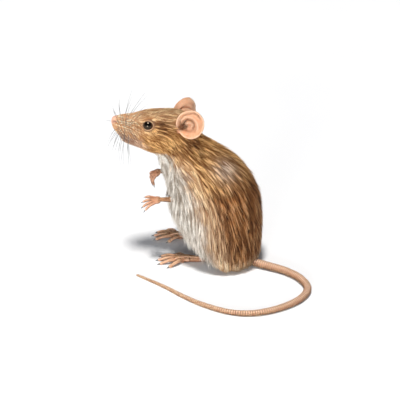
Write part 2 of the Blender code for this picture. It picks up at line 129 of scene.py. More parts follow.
def normals_of(shape):
    mesh = mesh_from("measured", shape)
    normals = np.empty(3 * len(mesh.vertices), np.float32)
    mesh.vertex_normals.foreach_get("vector", normals)
    bpy.data.meshes.remove(mesh)
    return normals.reshape(-1, 3).astype(float)


def unit(vectors):
    return vectors / np.maximum(np.linalg.norm(vectors, axis=-1, keepdims=True), 1e-9)


def smoothstep(low, high, values):
    share = np.clip((values - low) / (high - low), 0.0, 1.0)
    return share * share * (3.0 - 2.0 * share)


def bell(distance, width):
    """1 at no distance, falling softly to nothing beyond about twice the width."""
    return np.exp(-((distance / width) ** 2))


# %% [markdown]
# ## Tubes, balls and one skin from many lumps
# Legs, toes, claws, whiskers and the tail are tubes that follow a smooth line and change their
# thickness on the way. Palms and pads are balls. Flesh has no joints between such lumps, so
# they overlap, and the Remesh modifier wraps one skin round all of them. Smooth then melts the
# creases, as skin does over muscle.


# %% Make tubes and balls
def smooth_line(points, steps):
    """A Catmull-Rom line through the points, with this many steps from each to the next."""
    points = np.asarray(points, float)
    padded = np.vstack((2 * points[0] - points[1], points, 2 * points[-1] - points[-2]))
    line = []
    for a, b, c, d in zip(padded, padded[1:], padded[2:], padded[3:]):
        for t in np.arange(steps) / steps:
            square = (2 * a - 5 * b + 4 * c - d) * t**2
            cube = (3 * b - a - 3 * c + d) * t**3
            line.append(0.5 * (2 * b + (c - a) * t + square + cube))
    return np.array([*line, points[-1]])


def spread(values, count):
    """Values at this many even steps along a row of values, straight in between."""
    return np.interp(np.linspace(0.0, len(values) - 1.0, count), range(len(values)), values)


def loft(rings):
    """Faces from ring to ring, and a point in the middle of each end."""
    count, sides, _ = rings.shape
    step = np.arange(sides)
    after = (step + 1) % sides
    low = np.arange(count - 1)[:, None] * sides
    walls = np.stack((low + step, low + after, low + sides + after, low + sides + step), -1)
    ends = count * sides
    none = np.full(sides, -1)
    first = np.stack((after, step, np.full(sides, ends), none), -1)
    last_ring = (count - 1) * sides
    last = np.stack((last_ring + step, last_ring + after, np.full(sides, ends + 1), none), -1)
    points = np.vstack((rings.reshape(-1, 3), rings[0].mean(0), rings[-1].mean(0)))
    return points, np.vstack((walls.reshape(-1, 4), first, last))


def tube(line, radii, sides=12, round_ends=True):
    """A closed tube along a line. Its ends are round, or cut straight."""
    line, radii = np.asarray(line, float), np.asarray(radii, float)
    if round_ends:
        bends = np.radians((80.0, 55.0, 28.0))
        start, end = unit(line[0] - line[1]), unit(line[-1] - line[-2])
        before = [line[0] + start * radii[0] * math.sin(b) for b in bends]
        beyond = [line[-1] + end * radii[-1] * math.sin(b) for b in bends[::-1]]
        line = np.vstack((before, line, beyond))
        radii = np.concatenate((radii[0] * np.cos(bends), radii, radii[-1] * np.cos(bends[::-1])))
    ways = unit(np.gradient(line, axis=0))
    across = np.cross(ways[0], (0.0, 0.0, 1.0) if abs(ways[0][2]) < 0.9 else (1.0, 0.0, 0.0))
    turn = np.linspace(0.0, 2.0 * np.pi, sides, endpoint=False)
    rings = []
    for point, way, radius in zip(line, ways, radii):
        across = unit(across - way * np.dot(across, way))
        up = np.cross(way, across)
        circle = np.outer(np.cos(turn), across) + np.outer(np.sin(turn), up)
        rings.append(point + circle * radius)
    return loft(np.array(rings))


def ball(centre, radii, axes=None, rings=14, sides=20):
    """An ellipsoid, along its own three axes where they are given as rows."""
    rise = np.linspace(-0.49 * np.pi, 0.49 * np.pi, rings)[:, None]
    turn = np.linspace(0.0, 2.0 * np.pi, sides, endpoint=False)[None]
    sphere = np.stack(
        (np.cos(rise) * np.cos(turn), np.cos(rise) * np.sin(turn), np.sin(rise) + 0 * turn), -1
    )
    axes = np.eye(3) if axes is None else np.asarray(axes, float)
    return loft(np.asarray(centre, float) + (sphere * np.asarray(radii, float)) @ axes)


# %% Wrap one skin round overlapping lumps
def with_modifiers(shape, *modifiers):
    """The shape after these modifiers, each given as its type and its settings."""
    lump = bpy.data.objects.new("lump", mesh_from("lump", shape))
    bpy.context.scene.collection.objects.link(lump)
    for kind, settings in modifiers:
        modifier = lump.modifiers.new(kind, kind)
        for setting, value in settings.items():
            setattr(modifier, setting, value)
    graph = bpy.context.evaluated_depsgraph_get()
    mesh = bpy.data.meshes.new_from_object(lump.evaluated_get(graph))
    result = shape_from(mesh)
    bpy.data.objects.remove(lump)
    bpy.data.meshes.remove(mesh)
    return result


def fused(shapes, voxel, rounds):
    return with_modifiers(
        merged(shapes),
        ("REMESH", {"mode": "VOXEL", "voxel_size": voxel}),
        ("SMOOTH", {"factor": 0.5, "iterations": rounds}),
    )


# %% [markdown]
# ## Where things lie on the mouse
# The head has a frame of its own, which turns with it: out to the side, forward to the nose
# and up. The frame's numbers are the ones that the solid head was built with.
# The body's long middle line runs from the nose through the skull and down the trunk to the
# seat. Each point of the skin then has a place *along* that line and an angle *around* it,
# with the belly at 0 and the spine at half a turn. Fur lies along the line, markings follow
# both numbers, and together they unwrap the skin as a tailor would, down the middle of the
# back.

# %% The head's frame
HEAD_PIVOT, HEAD_YAW, HEAD_PITCH, HEAD_ROLL = (0.0, -18.8, 47.9), 4.0, 18.0, -9.0
SIDES = ((1, "left"), (-1, "right"))


def turned(degrees, axis):
    return Matrix.Rotation(math.radians(degrees), 4, axis)


HEAD = (
    Matrix.Translation(HEAD_PIVOT)
    @ turned(HEAD_YAW, "Z")
    @ turned(-HEAD_PITCH, "X")
    @ turned(HEAD_ROLL, "Y")
)


def on_head(out, forward, up):
    return np.array(HEAD @ Vector((out, -forward, up)))


def head_place(points):
    """How far out to its left, forward and up each point lies on the head."""
    turn = np.array(HEAD.to_3x3())
    local = (points - np.array(HEAD.translation)) @ turn
    return local * (1.0, -1.0, 1.0)


def head_way(out, forward, up):
    return np.array(HEAD.to_3x3() @ Vector((out, -forward, up)))


def box_middle(node):
    low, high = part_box(node)
    return np.array((low + high) / 2) / MM


EYES = {word: box_middle(f"eye_{word}") for _, word in SIDES}
EYE_RADIUS = float((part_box("eye_left")[1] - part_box("eye_left")[0]).z) / 2 / MM
print("eyes at", EYES, "with a radius of", round(EYE_RADIUS, 2))

# %% The middle line from the nose to the seat
HEAD_MIDDLE = ((24.5, -0.6), (20.9, -1.5), (14.4, -1.5), (7.5, -0.7), (2.0, -0.6))
TRUNK_MIDDLE = (
    (0.3, -16.8, 42.0),
    (0.8, -13.1, 38.2),
    (1.6, -9.5, 34.6),
    (2.5, -7.0, 30.2),
    (3.5, -5.1, 24.8),
    (4.6, -4.0, 18.6),
    (5.3, -3.1, 12.6),
    (5.7, -2.3, 7.0),
    (6.0, -1.4, 1.6),
    (6.2, -1.2, -1.2),
)
HIPS_YAW = -18.0

in_the_head = [on_head(0.0, forward, up) for forward, up in HEAD_MIDDLE]
middle = smooth_line([*in_the_head, *TRUNK_MIDDLE], 5)
middle_way = unit(np.gradient(middle, axis=0))
middle_along = np.concatenate(([0.0], np.cumsum(np.linalg.norm(np.diff(middle, axis=0), axis=1))))
# The left side of the body turns from the head's left to that of the hips.
turning = np.radians(np.interp(middle_along, (25.0, 60.0), (HEAD_YAW, HIPS_YAW)))
middle_left = np.stack((np.cos(turning), np.sin(turning), 0 * turning), -1)
middle_left = unit(middle_left - middle_way * (middle_left * middle_way).sum(1, keepdims=True))
middle_belly = np.cross(middle_way, middle_left)
SEAT = middle_along[-1]
BLEND = 1.6  # a point of the line this many mm farther off counts for about a third
BATCH = 20000  # points handled at once, which keeps the arrays of gaps small
print("nose to seat along the middle:", round(SEAT, 1), "mm")


def body_place(points):
    """How far along the body each point lies, its angle around it and its distance from the
    middle line, and the way to the tail."""
    along, around, reach = (np.empty(len(points)) for _ in range(3))
    way = np.empty(points.shape)
    for start in range(0, len(points), BATCH):
        some = slice(start, start + BATCH)
        gaps = np.linalg.norm(points[some, None] - middle[None], axis=2)
        near = np.exp((gaps.min(1, keepdims=True) - gaps) / BLEND)
        near /= near.sum(1, keepdims=True)
        offset = points[some] - near @ middle
        left, belly = near @ middle_left, near @ middle_belly
        along[some] = near @ middle_along
        aside, below = (offset * left).sum(1), (offset * belly).sum(1)
        around[some] = np.arctan2(aside, below)
        reach[some] = np.hypot(aside, below)
        way[some] = near @ middle_way
    return along, around, reach, unit(way)


# %% [markdown]
# ## The body under the coat
# The solids reach out to the tips of the fur. The skin lies deeper by the coat's depth: next
# to nothing on the nose, half a millimetre on the face and about two on the back. So the
# solids of the head, neck, trunk and thighs are swollen a little until the thin cuts between
# them close, wrapped in one skin, and that skin is drawn in by the depth of the coat at each
# place. Drawing in along the normals can fold the skin over itself in a crease, and a second
# wrap cleans that.

# %% Depth of the coat
COAT_STOPS = (0.0, 2.5, 6.0, 11.0, 17.0, 24.0, 31.0, 40.0, 60.0, 78.0)  # mm from the nose
COAT_DEPTH = (0.02, 0.12, 0.28, 0.42, 0.6, 0.9, 1.3, 1.7, 1.9, 1.6)
EYE_EDGE_DEPTH, EYE_EDGE_REACH = 0.3, 2.6  # the coat is shallow round the eyes


def coat_depth(points):
    along, *_ = body_place(points)
    depth = np.interp(along, COAT_STOPS, COAT_DEPTH)
    for centre in EYES.values():
        near_eye = bell(np.linalg.norm(points - centre, axis=1), EYE_EDGE_REACH)
        depth = depth * (1 - near_eye) + EYE_EDGE_DEPTH * near_eye
    return depth


# %% Swell, wrap and draw in
CUT_CLOSING = 0.3  # each solid swells by this much, so that the cuts between them close
EAR_ROOT = (6.7, 1.1, 1.3)  # out, forward and up on the head
EAR_LUMP, LUMP_DEEPER = (2.0, 3.6, 3.6), 1.2  # a swelling that carries the ear


def welded(shape):
    """The shape with the points that lie in one place made one."""
    points, faces = shape
    _, first, same = np.unique(np.round(points, 4), axis=0, return_index=True, return_inverse=True)
    return points[first], np.where(faces < 0, -1, same.ravel()[faces])


def node_shape(name):
    points, faces = shape_from(frame["nodes"][name].data)
    return welded((points / MM, faces))


lumps = []
for name in ("head", "neck", "trunk", "thigh_left", "thigh_right"):
    points, faces = node_shape(name)
    lumps.append((points + normals_of((points, faces)) * CUT_CLOSING, faces))
for side, word in SIDES:
    lumps.append(ball(EYES[word], (EYE_RADIUS,) * 3))
    out, forward, up = EAR_ROOT
    lumps.append(ball(on_head(side * (out - LUMP_DEEPER), forward, up), EAR_LUMP))

SKIN_VOXEL = 0.22
points, faces = fused(lumps, SKIN_VOXEL, rounds=14)
points = points - normals_of((points, faces)) * (CUT_CLOSING + coat_depth(points))[:, None]
body = fused([(points, faces)], SKIN_VOXEL, rounds=5)
print("body skin:", len(body[0]), "points")

# %% [markdown]
# ## The muzzle
# The nose of a mouse ends in a small bare pad with two comma-shaped nostrils. A groove runs
# from between them down to the split upper lip, and the mouth runs back under the whisker
# pads, whose skin lies in shallow folds. All of this is cut into the skin by moving its points
# in the head's own frame, which is the code's way of sculpting: each stroke is a bell-shaped
# push along the normal. The same masks later paint shade into the nostrils, groove, mouth and
# folds, so that what is cut deep is also dark, and dark dots at the whisker roots.


# %% Find the lines of the muzzle
MOUTH_FORWARD = (15.0, 16.5, 18.5, 20.5, 22.2, 23.0)
MOUTH_UP = (-5.9, -6.3, -6.4, -5.8, -4.8, -4.2)  # the mouth's height at each of these
PAD_FRONT, PAD_TOP, PAD_STEP, PAD_ROW = 21.8, -0.8, 1.2, 0.85  # where the whiskers grow
WHISKER_ROWS, WHISKER_COLUMNS = 5, 4
FOLD_STEP = 1.05  # from one fold of the whisker pad to the next


def pad_spot(row, column):
    """How far forward and up on the head a whisker has its root."""
    return PAD_FRONT - 0.3 * row - PAD_STEP * column, PAD_TOP - PAD_ROW * row


def muzzle_lines(points):
    """The nose pad, and the lines, later painted dark: nostrils, groove, mouth and folds as
    painted shade, whisker roots as dots. Each is 1 on its own place and 0 away from it."""
    out, forward, up = head_place(points).T
    side, front = np.abs(out), smoothstep(20.0, 21.5, forward)
    pad = smoothstep(1.0, 0.75, np.hypot(out / 1.95, (up + 1.0) / 2.0)) * front
    nostril = bell(np.hypot(side - 0.95, (up + 1.7) * 1.1), 0.38)
    comma = bell(np.hypot((side - 1.5) / 1.6, up + 1.3), 0.32)
    nostril = np.maximum(nostril, comma) * front
    groove = bell(side, 0.2) * smoothstep(-4.4, -4.0, up) * smoothstep(-2.2, -2.6, up) * front
    lip = np.interp(forward, MOUTH_FORWARD, MOUTH_UP)
    mouth = bell(up - lip, 0.22) * smoothstep(15.0, 16.5, forward)
    row = np.clip(np.round((PAD_TOP - up) / PAD_ROW), 0, WHISKER_ROWS - 1)
    column = np.round((pad_spot(row, 0)[0] - forward) / PAD_STEP)
    spot_forward, spot_up = pad_spot(row, np.clip(column, 0, WHISKER_COLUMNS))
    roots = bell(np.hypot(forward - spot_forward, up - spot_up), 0.27) * smoothstep(1.2, 1.8, side)
    # shallow folds run down the whisker pad, and turn back under it towards the cheek
    slant = forward - 0.33 * up - 0.7 * np.minimum(up + 2.2, 0.0)
    folds = smoothstep(0.05, 0.85, np.cos(2 * np.pi * slant / FOLD_STEP)) * smoothstep(1.0, 1.8, side)
    folds = folds * smoothstep(21.4, 20.6, forward) * smoothstep(12.5, 14.5, forward)
    folds = folds * smoothstep(1.8, 0.6, up)
    return pad, nostril, groove, mouth, roots, folds


def face_shade_and_whisker_dots(points):
    """How dark the fine lines of the face are at each point: painted shade in the nostrils,
    groove, mouth and folds, and dark dots at the whisker roots.
    """
    _, nostril, groove, mouth, roots, folds = muzzle_lines(points)
    return np.maximum.reduce((nostril, 0.7 * groove, 0.9 * mouth, 0.6 * roots, 0.55 * folds))


# %% Sculpt the muzzle
LIP_FALL, NOSE_SLOPE, CHIN_BACK = 1.3, 0.45, 0.9
# Swellings and hollows of the face: how far forward and up, how many times longer than tall,
# how wide, between which distances from the middle they set in, and how far they stand out.
SWELLINGS = (
    (19.2, -2.8, 1.5, 1.8, (0.8, 1.8), 0.25),  # the whisker pad
    (11.0, 3.9, 2.2, 0.9, (2.0, 4.0), 0.18),  # the brow
    (15.0, 0.3, 1.4, 0.9, (2.0, 3.0), -0.3),  # the hollow in front of the eye
)


def sculpted(shape):
    points, faces = shape
    _, forward, up = head_place(points).T
    # the upper lip hangs down in front
    fall = smoothstep(11.0, 20.5, forward) * smoothstep(0.5, -3.2, up)
    points = points + (LIP_FALL * fall)[:, None] * head_way(0.0, 0.12, -1.0)
    # the nose slopes off above, and the chin lies back below
    _, forward, up = head_place(points).T
    slope = smoothstep(20.5, 23.5, forward) * smoothstep(-0.8, 1.0, up)
    chin = smoothstep(-2.8, -5.4, up) * smoothstep(16.0, 22.0, forward)
    points = points - (NOSE_SLOPE * slope)[:, None] * head_way(0.0, 0.0, 1.0)
    points = points - (CHIN_BACK * chin)[:, None] * head_way(0.0, 1.0, 0.0)
    out, forward, up = head_place(points).T
    side = np.abs(out)
    pad, nostril, groove, mouth, _, folds = muzzle_lines(points)
    push = 0.2 * pad - 0.65 * nostril - 0.35 * groove - 0.45 * mouth - 0.13 * folds
    for at_forward, at_up, longer, width, (inner, outer), strength in SWELLINGS:
        reach = np.hypot((forward - at_forward) / longer, up - at_up)
        push += strength * bell(reach, width) * smoothstep(inner, outer, side)
    return points + normals_of((points, faces)) * push[:, None], faces


# %% Draw back the front of the seat
SEAT_FRONT, SEAT_SLANT, SEAT_HANG = -8.4, 0.6, 9.5


def seated(shape):
    """The body with the front of its seat drawn back slantwise, so that the feet come free."""
    points, faces = shape
    points = points.copy()
    height = np.maximum(points[:, 2], 0.05)
    front = SEAT_FRONT + SEAT_SLANT * points[:, 0] - SEAT_HANG * (height / 12.0) ** 0.7
    beyond = np.maximum(front - points[:, 1], 0.0) * smoothstep(19.0, 14.0, height)
    points[:, 1] += 0.93 * beyond
    points[:, 2] = height
    return points, faces


body = seated(sculpted(body))
print("nose pad:", int((muzzle_lines(body[0])[0] > 0.5).sum()), "points")

# %% [markdown]
# ## Eyelids
# The bare lids make a thin pale ring round each eye, drawn out a little at its front and rear
# corners. The ring is a sheet in polar coordinates round the eye's own axis: it starts on the
# eyeball, rolls up into a lip, and sinks into the skin further out. Its back lies inside the
# head, so that the ring is a closed shape.

# %% Roll the lids
EYE_LOOK = (0.93, 0.34, 0.16)  # out, forward and up
LID_OPEN, LID_TALL = 60.0, 48.0  # degrees from the eye's axis, along and across the slit
LID_BREADTH, LIP_HEIGHT, LID_SINK = 36.0, 0.15, 0.85
LID_STEPS, LID_RINGS, LID_DARK_RINGS = 72, 16, 3


def eye_axes(side):
    look = unit(head_way(side * EYE_LOOK[0], EYE_LOOK[1], EYE_LOOK[2]))
    slit = head_way(0.0, 0.97, -0.12)
    slit = unit(slit - look * np.dot(slit, look))
    return slit, np.cross(look, slit) * side, look


def lid(side, word):
    slit, rise, look = eye_axes(side)
    turn = np.linspace(0.0, 2 * np.pi, LID_STEPS, endpoint=False)[None]
    out = np.linspace(0.0, 1.0, LID_RINGS)[:, None]
    corner = np.abs(np.cos(turn)) ** 6
    edge = np.radians(LID_TALL + (LID_OPEN - LID_TALL) * np.abs(np.cos(turn)) ** 2 + 5.0 * corner)
    tilt = edge + out * math.radians(LID_BREADTH)
    lip = LIP_HEIGHT * np.sin(np.pi * np.clip(out / 0.62, 0.0, 1.0)) ** 0.7
    crease = 0.035 * np.sin(out * 26.0 + 0.6 * np.sin(turn * 2)) * (out > 0.25)
    sink = LID_SINK * np.clip((out - 0.5) / 0.5, 0.0, 1.0) ** 1.6
    radius = EYE_RADIUS + 0.03 + lip * (1.0 - 0.35 * corner) + crease - sink
    flat = np.sin(tilt) * radius
    rings = (
        (flat * np.cos(turn))[..., None] * slit
        + (flat * np.sin(turn))[..., None] * rise
        + (np.cos(tilt) * radius)[..., None] * look
    )
    backing = rings[::-1] * 0.86
    points, faces = loft(np.concatenate((rings, backing)) + EYES[word])
    # the two flat ends give way to faces that join the last ring to the first
    points = points[:-2]
    faces = faces[(faces < len(points)).all(1)]
    last, step = len(points) - LID_STEPS, np.arange(LID_STEPS)
    after = (step + 1) % LID_STEPS
    join = np.stack((last + step, last + after, after, step), -1)
    return points, np.vstack((faces, join))


lids = [lid(side, word) for side, word in SIDES]
print("lid:", len(lids[0][0]), "points")

# %% [markdown]
# ## Ears
# A field mouse has big, thin, almost bare ears. Each is a cupped sheet, a little flatter at its
# front edge, and what makes it an ear is the relief inside: the rim rolls forward, a long fold
# runs round the bowl, and a smaller one curls in a spiral to the dark ear hole. The long fold
# is a ridge on a circle, and the spiral is one whose distance grows with its bearing. Solidify
# gives the sheet its thickness.

# %% Where the ears lie
EAR_HEIGHT, EAR_WIDTH, EAR_DEPTH = 11.4, 10.2, 3.2
EAR_LEAN_OUT, EAR_LEAN_BACK, EAR_TURN = 32.0, 29.0, 48.0
EAR_SHIFT = (-0.3, 0.0, 1.2)  # across, deep and up from the solid ear's root
EAR_FLAT, FLAT_AT = 0.1, 1.4 * np.pi  # the front of the rim is flatter than an ellipse
EAR_HOLE, EAR_SPIRAL = (-0.75, 1.2), (0.1, 3.6)  # across and up the ear
SPIRAL_START = 0.8  # the bearing from which the folds of the spiral are measured
EAR_STEPS, EAR_RINGS, EAR_WALL = 120, 44, 0.34
CUP_REACH, TUCKED = 5.0, 2.4  # how far the ear's hollow reaches, and how far skin is tucked away
EAR_CANAL = (-0.6, 2.4, 1.3)  # across, deep and up


def ear_frame(side):
    out, forward, up = EAR_ROOT
    lean = turned(side * EAR_LEAN_OUT, "Y") @ turned(-EAR_LEAN_BACK, "X")
    place = HEAD @ Matrix.Translation((side * out, -forward, up)) @ lean @ turned(side * EAR_TURN, "Z")
    across, deep, above = EAR_SHIFT
    return place @ Matrix.Translation((side * across, deep, above))


def ear_rim(around):
    """How far the rim lies from the middle of the ear, as a share of the full ellipse."""
    gap = (around - FLAT_AT + np.pi) % (2 * np.pi) - np.pi
    return 1.0 - EAR_FLAT * bell(gap, 0.6)


# %% Fold the ears
def ear_relief(across, up, out):
    """How far the inside stands out of the bowl, its painted shade and its painted highlight."""
    over, above = across - EAR_SPIRAL[0], up - EAR_SPIRAL[1]
    reach = np.hypot(over, above)
    # the spiral opens from below the middle, over the top and forward to the ear hole
    bearing = (np.arctan2(above, over) - SPIRAL_START + 2.1) % (2 * np.pi) - 2.1
    over_top = smoothstep(-0.6, 0.3, bearing) * smoothstep(3.4, 2.8, bearing)
    long_fold = bell(reach - 3.45, 0.38) * over_top
    spiral = smoothstep(-1.3, -0.5, bearing) * smoothstep(3.7, 3.2, bearing)
    valley = bell(reach - (1.45 + 0.42 * bearing), 0.4) * spiral
    small_fold = bell(reach - (0.7 + 0.34 * bearing), 0.3) * spiral
    outer_valley = bell(reach - 2.95, 0.3) * over_top
    hole = bell(np.hypot((across - EAR_HOLE[0]) / 0.8, (up - EAR_HOLE[1]) / 1.3), 1.0)
    front = smoothstep(1.2, -1.2, across)
    rolled_rim = smoothstep(0.89, 0.98, out)
    under_rim = bell(out - 0.83, 0.065) * front
    raised = 0.55 * long_fold + 0.5 * small_fold + (0.28 + 0.5 * front) * rolled_rim
    raised = raised - 0.55 * valley - 0.2 * outer_valley - 0.8 * hole - 0.3 * under_rim
    # painted shade in the ear hole, the valleys, under the rolled rim and deep in the bowl
    shade = 1.3 * hole + (0.5 + 0.16 * bearing) * valley + 0.3 * outer_valley + 0.75 * under_rim
    shade = np.clip(shade + 0.2 * bell(out - 0.3, 0.3), 0, 1)
    # a painted highlight on the folds and on the rolled rim
    light = np.clip(0.9 * long_fold + 0.9 * small_fold + 0.9 * rolled_rim, 0, 1)
    return raised, shade, light * (1 - hole)


def ear(side):
    around = np.linspace(0.0, 2 * np.pi, EAR_STEPS, endpoint=False)[None]
    out = (np.linspace(0.02, 1.0, EAR_RINGS) ** 0.85)[:, None]
    rim_across = EAR_WIDTH / 2 * np.sin(around) * ear_rim(around)
    rim_up = EAR_HEIGHT * (0.52 - 0.48 * np.cos(around) * ear_rim(around))
    across = rim_across * out
    up = EAR_HEIGHT * 0.14 * (1 - out) + rim_up * out
    raised, *painted_shade_and_highlight = ear_relief(across, up, out)
    depth = EAR_DEPTH * (1.0 - out**2.2) - raised
    local = np.stack((side * across, depth, up), -1)
    turn = np.array(ear_frame(side))
    rings = local @ turn[:3, :3].T + turn[:3, 3]
    points, faces = loft(rings)
    points = points[:-1]
    faces = faces[~(faces == len(points)).any(1)]  # the rim stays open
    thick = ("SOLIDIFY", {"thickness": EAR_WALL, "offset": 0.0})
    sheet = with_modifiers((points, faces), thick)
    # painted shade and highlight for the sheet's points, and none for the points of its back
    back = np.zeros(len(sheet[0]) - len(points))
    shade, light = (np.concatenate((tint.ravel(), [tint[0].mean()], back)) for tint in painted_shade_and_highlight)
    return sheet, shade, light


# %% Keep the skin of the head out of the ears
def ear_place(side, points):
    """How far across the ear, into its bowl and up the ear each point lies."""
    turn = np.array(ear_frame(side))
    return ((points - turn[:3, 3]) @ turn[:3, :3]) * (side, 1.0, 1.0)


def under_ear(side, points):
    """How far out in the ear's outline each point lies, and how far in front of its sheet."""
    across, depth, up = ear_place(side, points).T
    aside, above = across / (EAR_WIDTH / 2), up / (0.48 * EAR_HEIGHT) - 1.08
    outline = np.hypot(aside, above) / ear_rim(np.arctan2(aside, -above))
    sheet_depth = EAR_DEPTH * (1.0 - np.minimum(outline, 1.0) ** 2.2)
    return outline, sheet_depth - depth


def in_cup(points):
    """1 for the points that lie in the hollow of an ear."""
    inside = np.zeros(len(points))
    for side, _ in SIDES:
        outline, in_front = under_ear(side, points)
        hollow = smoothstep(1.0, 0.93, outline) * (in_front > -0.2) * (in_front < CUP_REACH)
        inside = np.maximum(inside, hollow)
    return inside


def tucked(points):
    """The head's skin pushed back behind the sheet of each ear, out of the ear's hollow."""
    for side, _ in SIDES:
        outline, in_front = under_ear(side, points)
        push = smoothstep(1.0, 0.86, outline) * (in_front > -TUCKED) * (in_front < CUP_REACH)
        back = np.array(ear_frame(side).to_3x3())[:, 1]
        points = points + (push * (in_front + TUCKED))[:, None] * back
    return points


ears = [ear(side) for side, _ in SIDES]
body = tucked(body[0]), body[1]
print("ear:", len(ears[0][0][0]), "points")

# %% [markdown]
# ## Hind feet
# The mouse sits on long, narrow hind feet. A hind foot is a heel, a sole and five toes, of
# which the middle three are long, with round pads where they bear the weight. The lumps are
# made along the same bones as the solid foot, but with many more points, and one skin is
# wrapped round them. Where that skin is hollow and where it is ridged comes from comparing it
# with a melted copy of itself, and later the hollows get painted shade and the ridges a
# painted highlight. The claws stay apart, because horn has its own colour and gloss.

# %% Hollows and ridges of a skin
def hollows(shape, rounds=14, depth=0.09):
    """How hollow the skin is at each point, from -1 on a ridge to 1 in a crease."""
    points, faces = shape
    sides = [(0, 1), (1, 2), (2, 3), (3, 0)]
    pairs = np.vstack([faces[faces[:, 3] >= 0][:, side] for side in sides])
    pairs = np.vstack((pairs, pairs[:, ::-1]))
    count = np.maximum(np.bincount(pairs[:, 0], minlength=len(points)), 1)
    melted = points
    for _ in range(rounds):
        sums = [np.bincount(pairs[:, 0], melted[pairs[:, 1], k], len(points)) for k in range(3)]
        melted = np.stack(sums, -1) / count[:, None]
    gap = ((melted - points) * normals_of(shape)).sum(1)
    return np.clip(gap / depth, -1.0, 1.0)


# %% The bones of the hind feet
FLAT = 0.15  # how far a sole is pressed flat on the floor
HIND_FEET = {"left": ((7.8, -3.6), (8.2, -25.4)), "right": ((-8.4, -6.0), (-12.2, -27.7))}
HIND_FOOT_LENGTH = 22.0
# Toes from the inner one out: root and end as shares of the foot, and their way sideways.
HIND_TOES = (
    (0.52, -0.9, 0.72, -4.4),
    (0.66, -1.0, 0.95, -3.3),
    (0.67, -0.2, 1.00, -0.4),
    (0.66, 0.7, 0.97, 2.4),
    (0.58, 1.1, 0.82, 4.8),
)
# The sole: share of the foot, height of its middle and radius.
SOLE = ((0.0, 1.4, 1.5), (0.24, 1.0, 1.05), (0.48, 1.05, 1.1), (0.6, 1.2, 1.55), (0.7, 1.15, 1.25))
TOE_RADII = (0.9, 0.68, 0.62, 0.76, 0.6, 0.58, 0.5)
TENDONS, TENDON_RADIUS = (-0.7, 0.0, 0.7), 0.3  # mm to the side of the foot's middle
CLAW_LENGTH, CLAW_RADIUS = 1.6, 0.33
FOOT_VOXEL = 0.12


def claw(root, aim, size=1.0):
    """A horn sickle that bends down to its point."""
    aim, down = unit(np.asarray(aim)), np.array((0.0, 0.0, -1.0))
    shares = np.linspace(-0.25, 1.0, 9)
    bend = np.where(shares > 0, 0.27 * shares**2 - 0.05 * shares, 0.0)
    line = root + (np.outer(shares, aim) + np.outer(bend, down)) * CLAW_LENGTH * size
    radii = CLAW_RADIUS * size * np.interp(shares, (-0.25, 0.0, 0.6, 1.0), (0.9, 1.0, 0.6, 0.14))
    return tube(line, radii, sides=10)


# %% Build the hind feet
def hind_foot(side, word):
    heel, toe = (np.array((*spot, 0.0)) for spot in HIND_FEET[word])
    along = unit(toe - heel)
    outward = np.array((-along[1], along[0], 0.0))
    outward = outward * np.sign(outward[0] * side)

    def spot(share, sideways, height):
        lift = np.array((0.0, 0.0, height - FLAT))
        return heel + along * share * HIND_FOOT_LENGTH + outward * sideways + lift

    line = smooth_line([spot(share, 0.0, height) for share, height, _ in SOLE], 4)
    lumps = [tube(line, spread([radius for _, _, radius in SOLE], len(line)), 20)]
    claws = []
    for root, root_side, end, end_side in HIND_TOES:
        knuckle = ((root + end) / 2 + 0.02, (root_side + end_side) / 2 + 0.12 * end_side)
        bones = (
            spot(root - 0.06, root_side * 0.8, 1.3),
            spot(root + 0.04, root_side, 1.35),
            spot(*knuckle, 1.45),
            spot(end, end_side, 0.62),
        )
        line = smooth_line(bones, 6)
        lumps.append(tube(line, spread(TOE_RADII, len(line)), 16))
        lumps.append(ball(spot(root + 0.03, root_side * 0.8, 0.55), (0.7, 0.8, 0.5)))
        lumps.append(ball(spot(end - 0.015, end_side, 0.52), (0.56, 0.7, 0.42)))
        claws.append(claw(line[-1] + (0, 0, 0.12), line[-1] - line[-5]))
    # tendons show through the thin skin on top of the foot
    for sideways in TENDONS:
        stops = ((0.3, 0.5 * sideways, 1.8), (0.57, sideways, 2.4), (0.74, 2 * sideways, 1.85))
        cord = smooth_line([spot(*stop) for stop in stops], 6)
        lumps.append(tube(cord, np.full(len(cord), TENDON_RADIUS), 10))
    skin = fused(lumps, FOOT_VOXEL, 3)
    skin[0][:, 2] = np.maximum(skin[0][:, 2], 0.0)
    return skin, claws


hind_feet = [hind_foot(side, word) for side, word in SIDES]
print("hind foot:", [len(foot[0][0]) for foot in hind_feet], "points")

# %% [markdown]
# ## Forelegs and hands
# The thin forearms come out of the breast fur, and the hands hang in front of it. A hand has
# four fingers, and the fingers of a resting mouse curl down from the knuckles. The frame's
# solids fix the elbow, the wrist and where the hand points.

# %% Build the forelegs
# Elbow, wrist, aim of the hand, how far its fingers bend and how far it is rolled outwards.
FORELEGS = {
    "left": ((9.5, -12.5, 26.2), (8.0, -24.7, 25.5), (7.4, -31.0, 24.2), 24.0, 30.0),
    "right": ((-7.0, -14.5, 27.6), (-6.2, -25.4, 30.4), (-6.4, -29.6, 27.6), 58.0, -30.0),
}
FINGERS, FINGER_SPREAD, FINGER_GAP, FINGER_LENGTH = 4, 17.0, 0.78, 4.6
PALM_RADII, ARM_RADII = (1.6, 1.95, 0.85), (1.4, 0.95, 0.68, 0.72)
FINGER_RADII = (0.62, 0.58, 0.5, 0.54, 0.46, 0.42)
HAND_VOXEL = 0.1


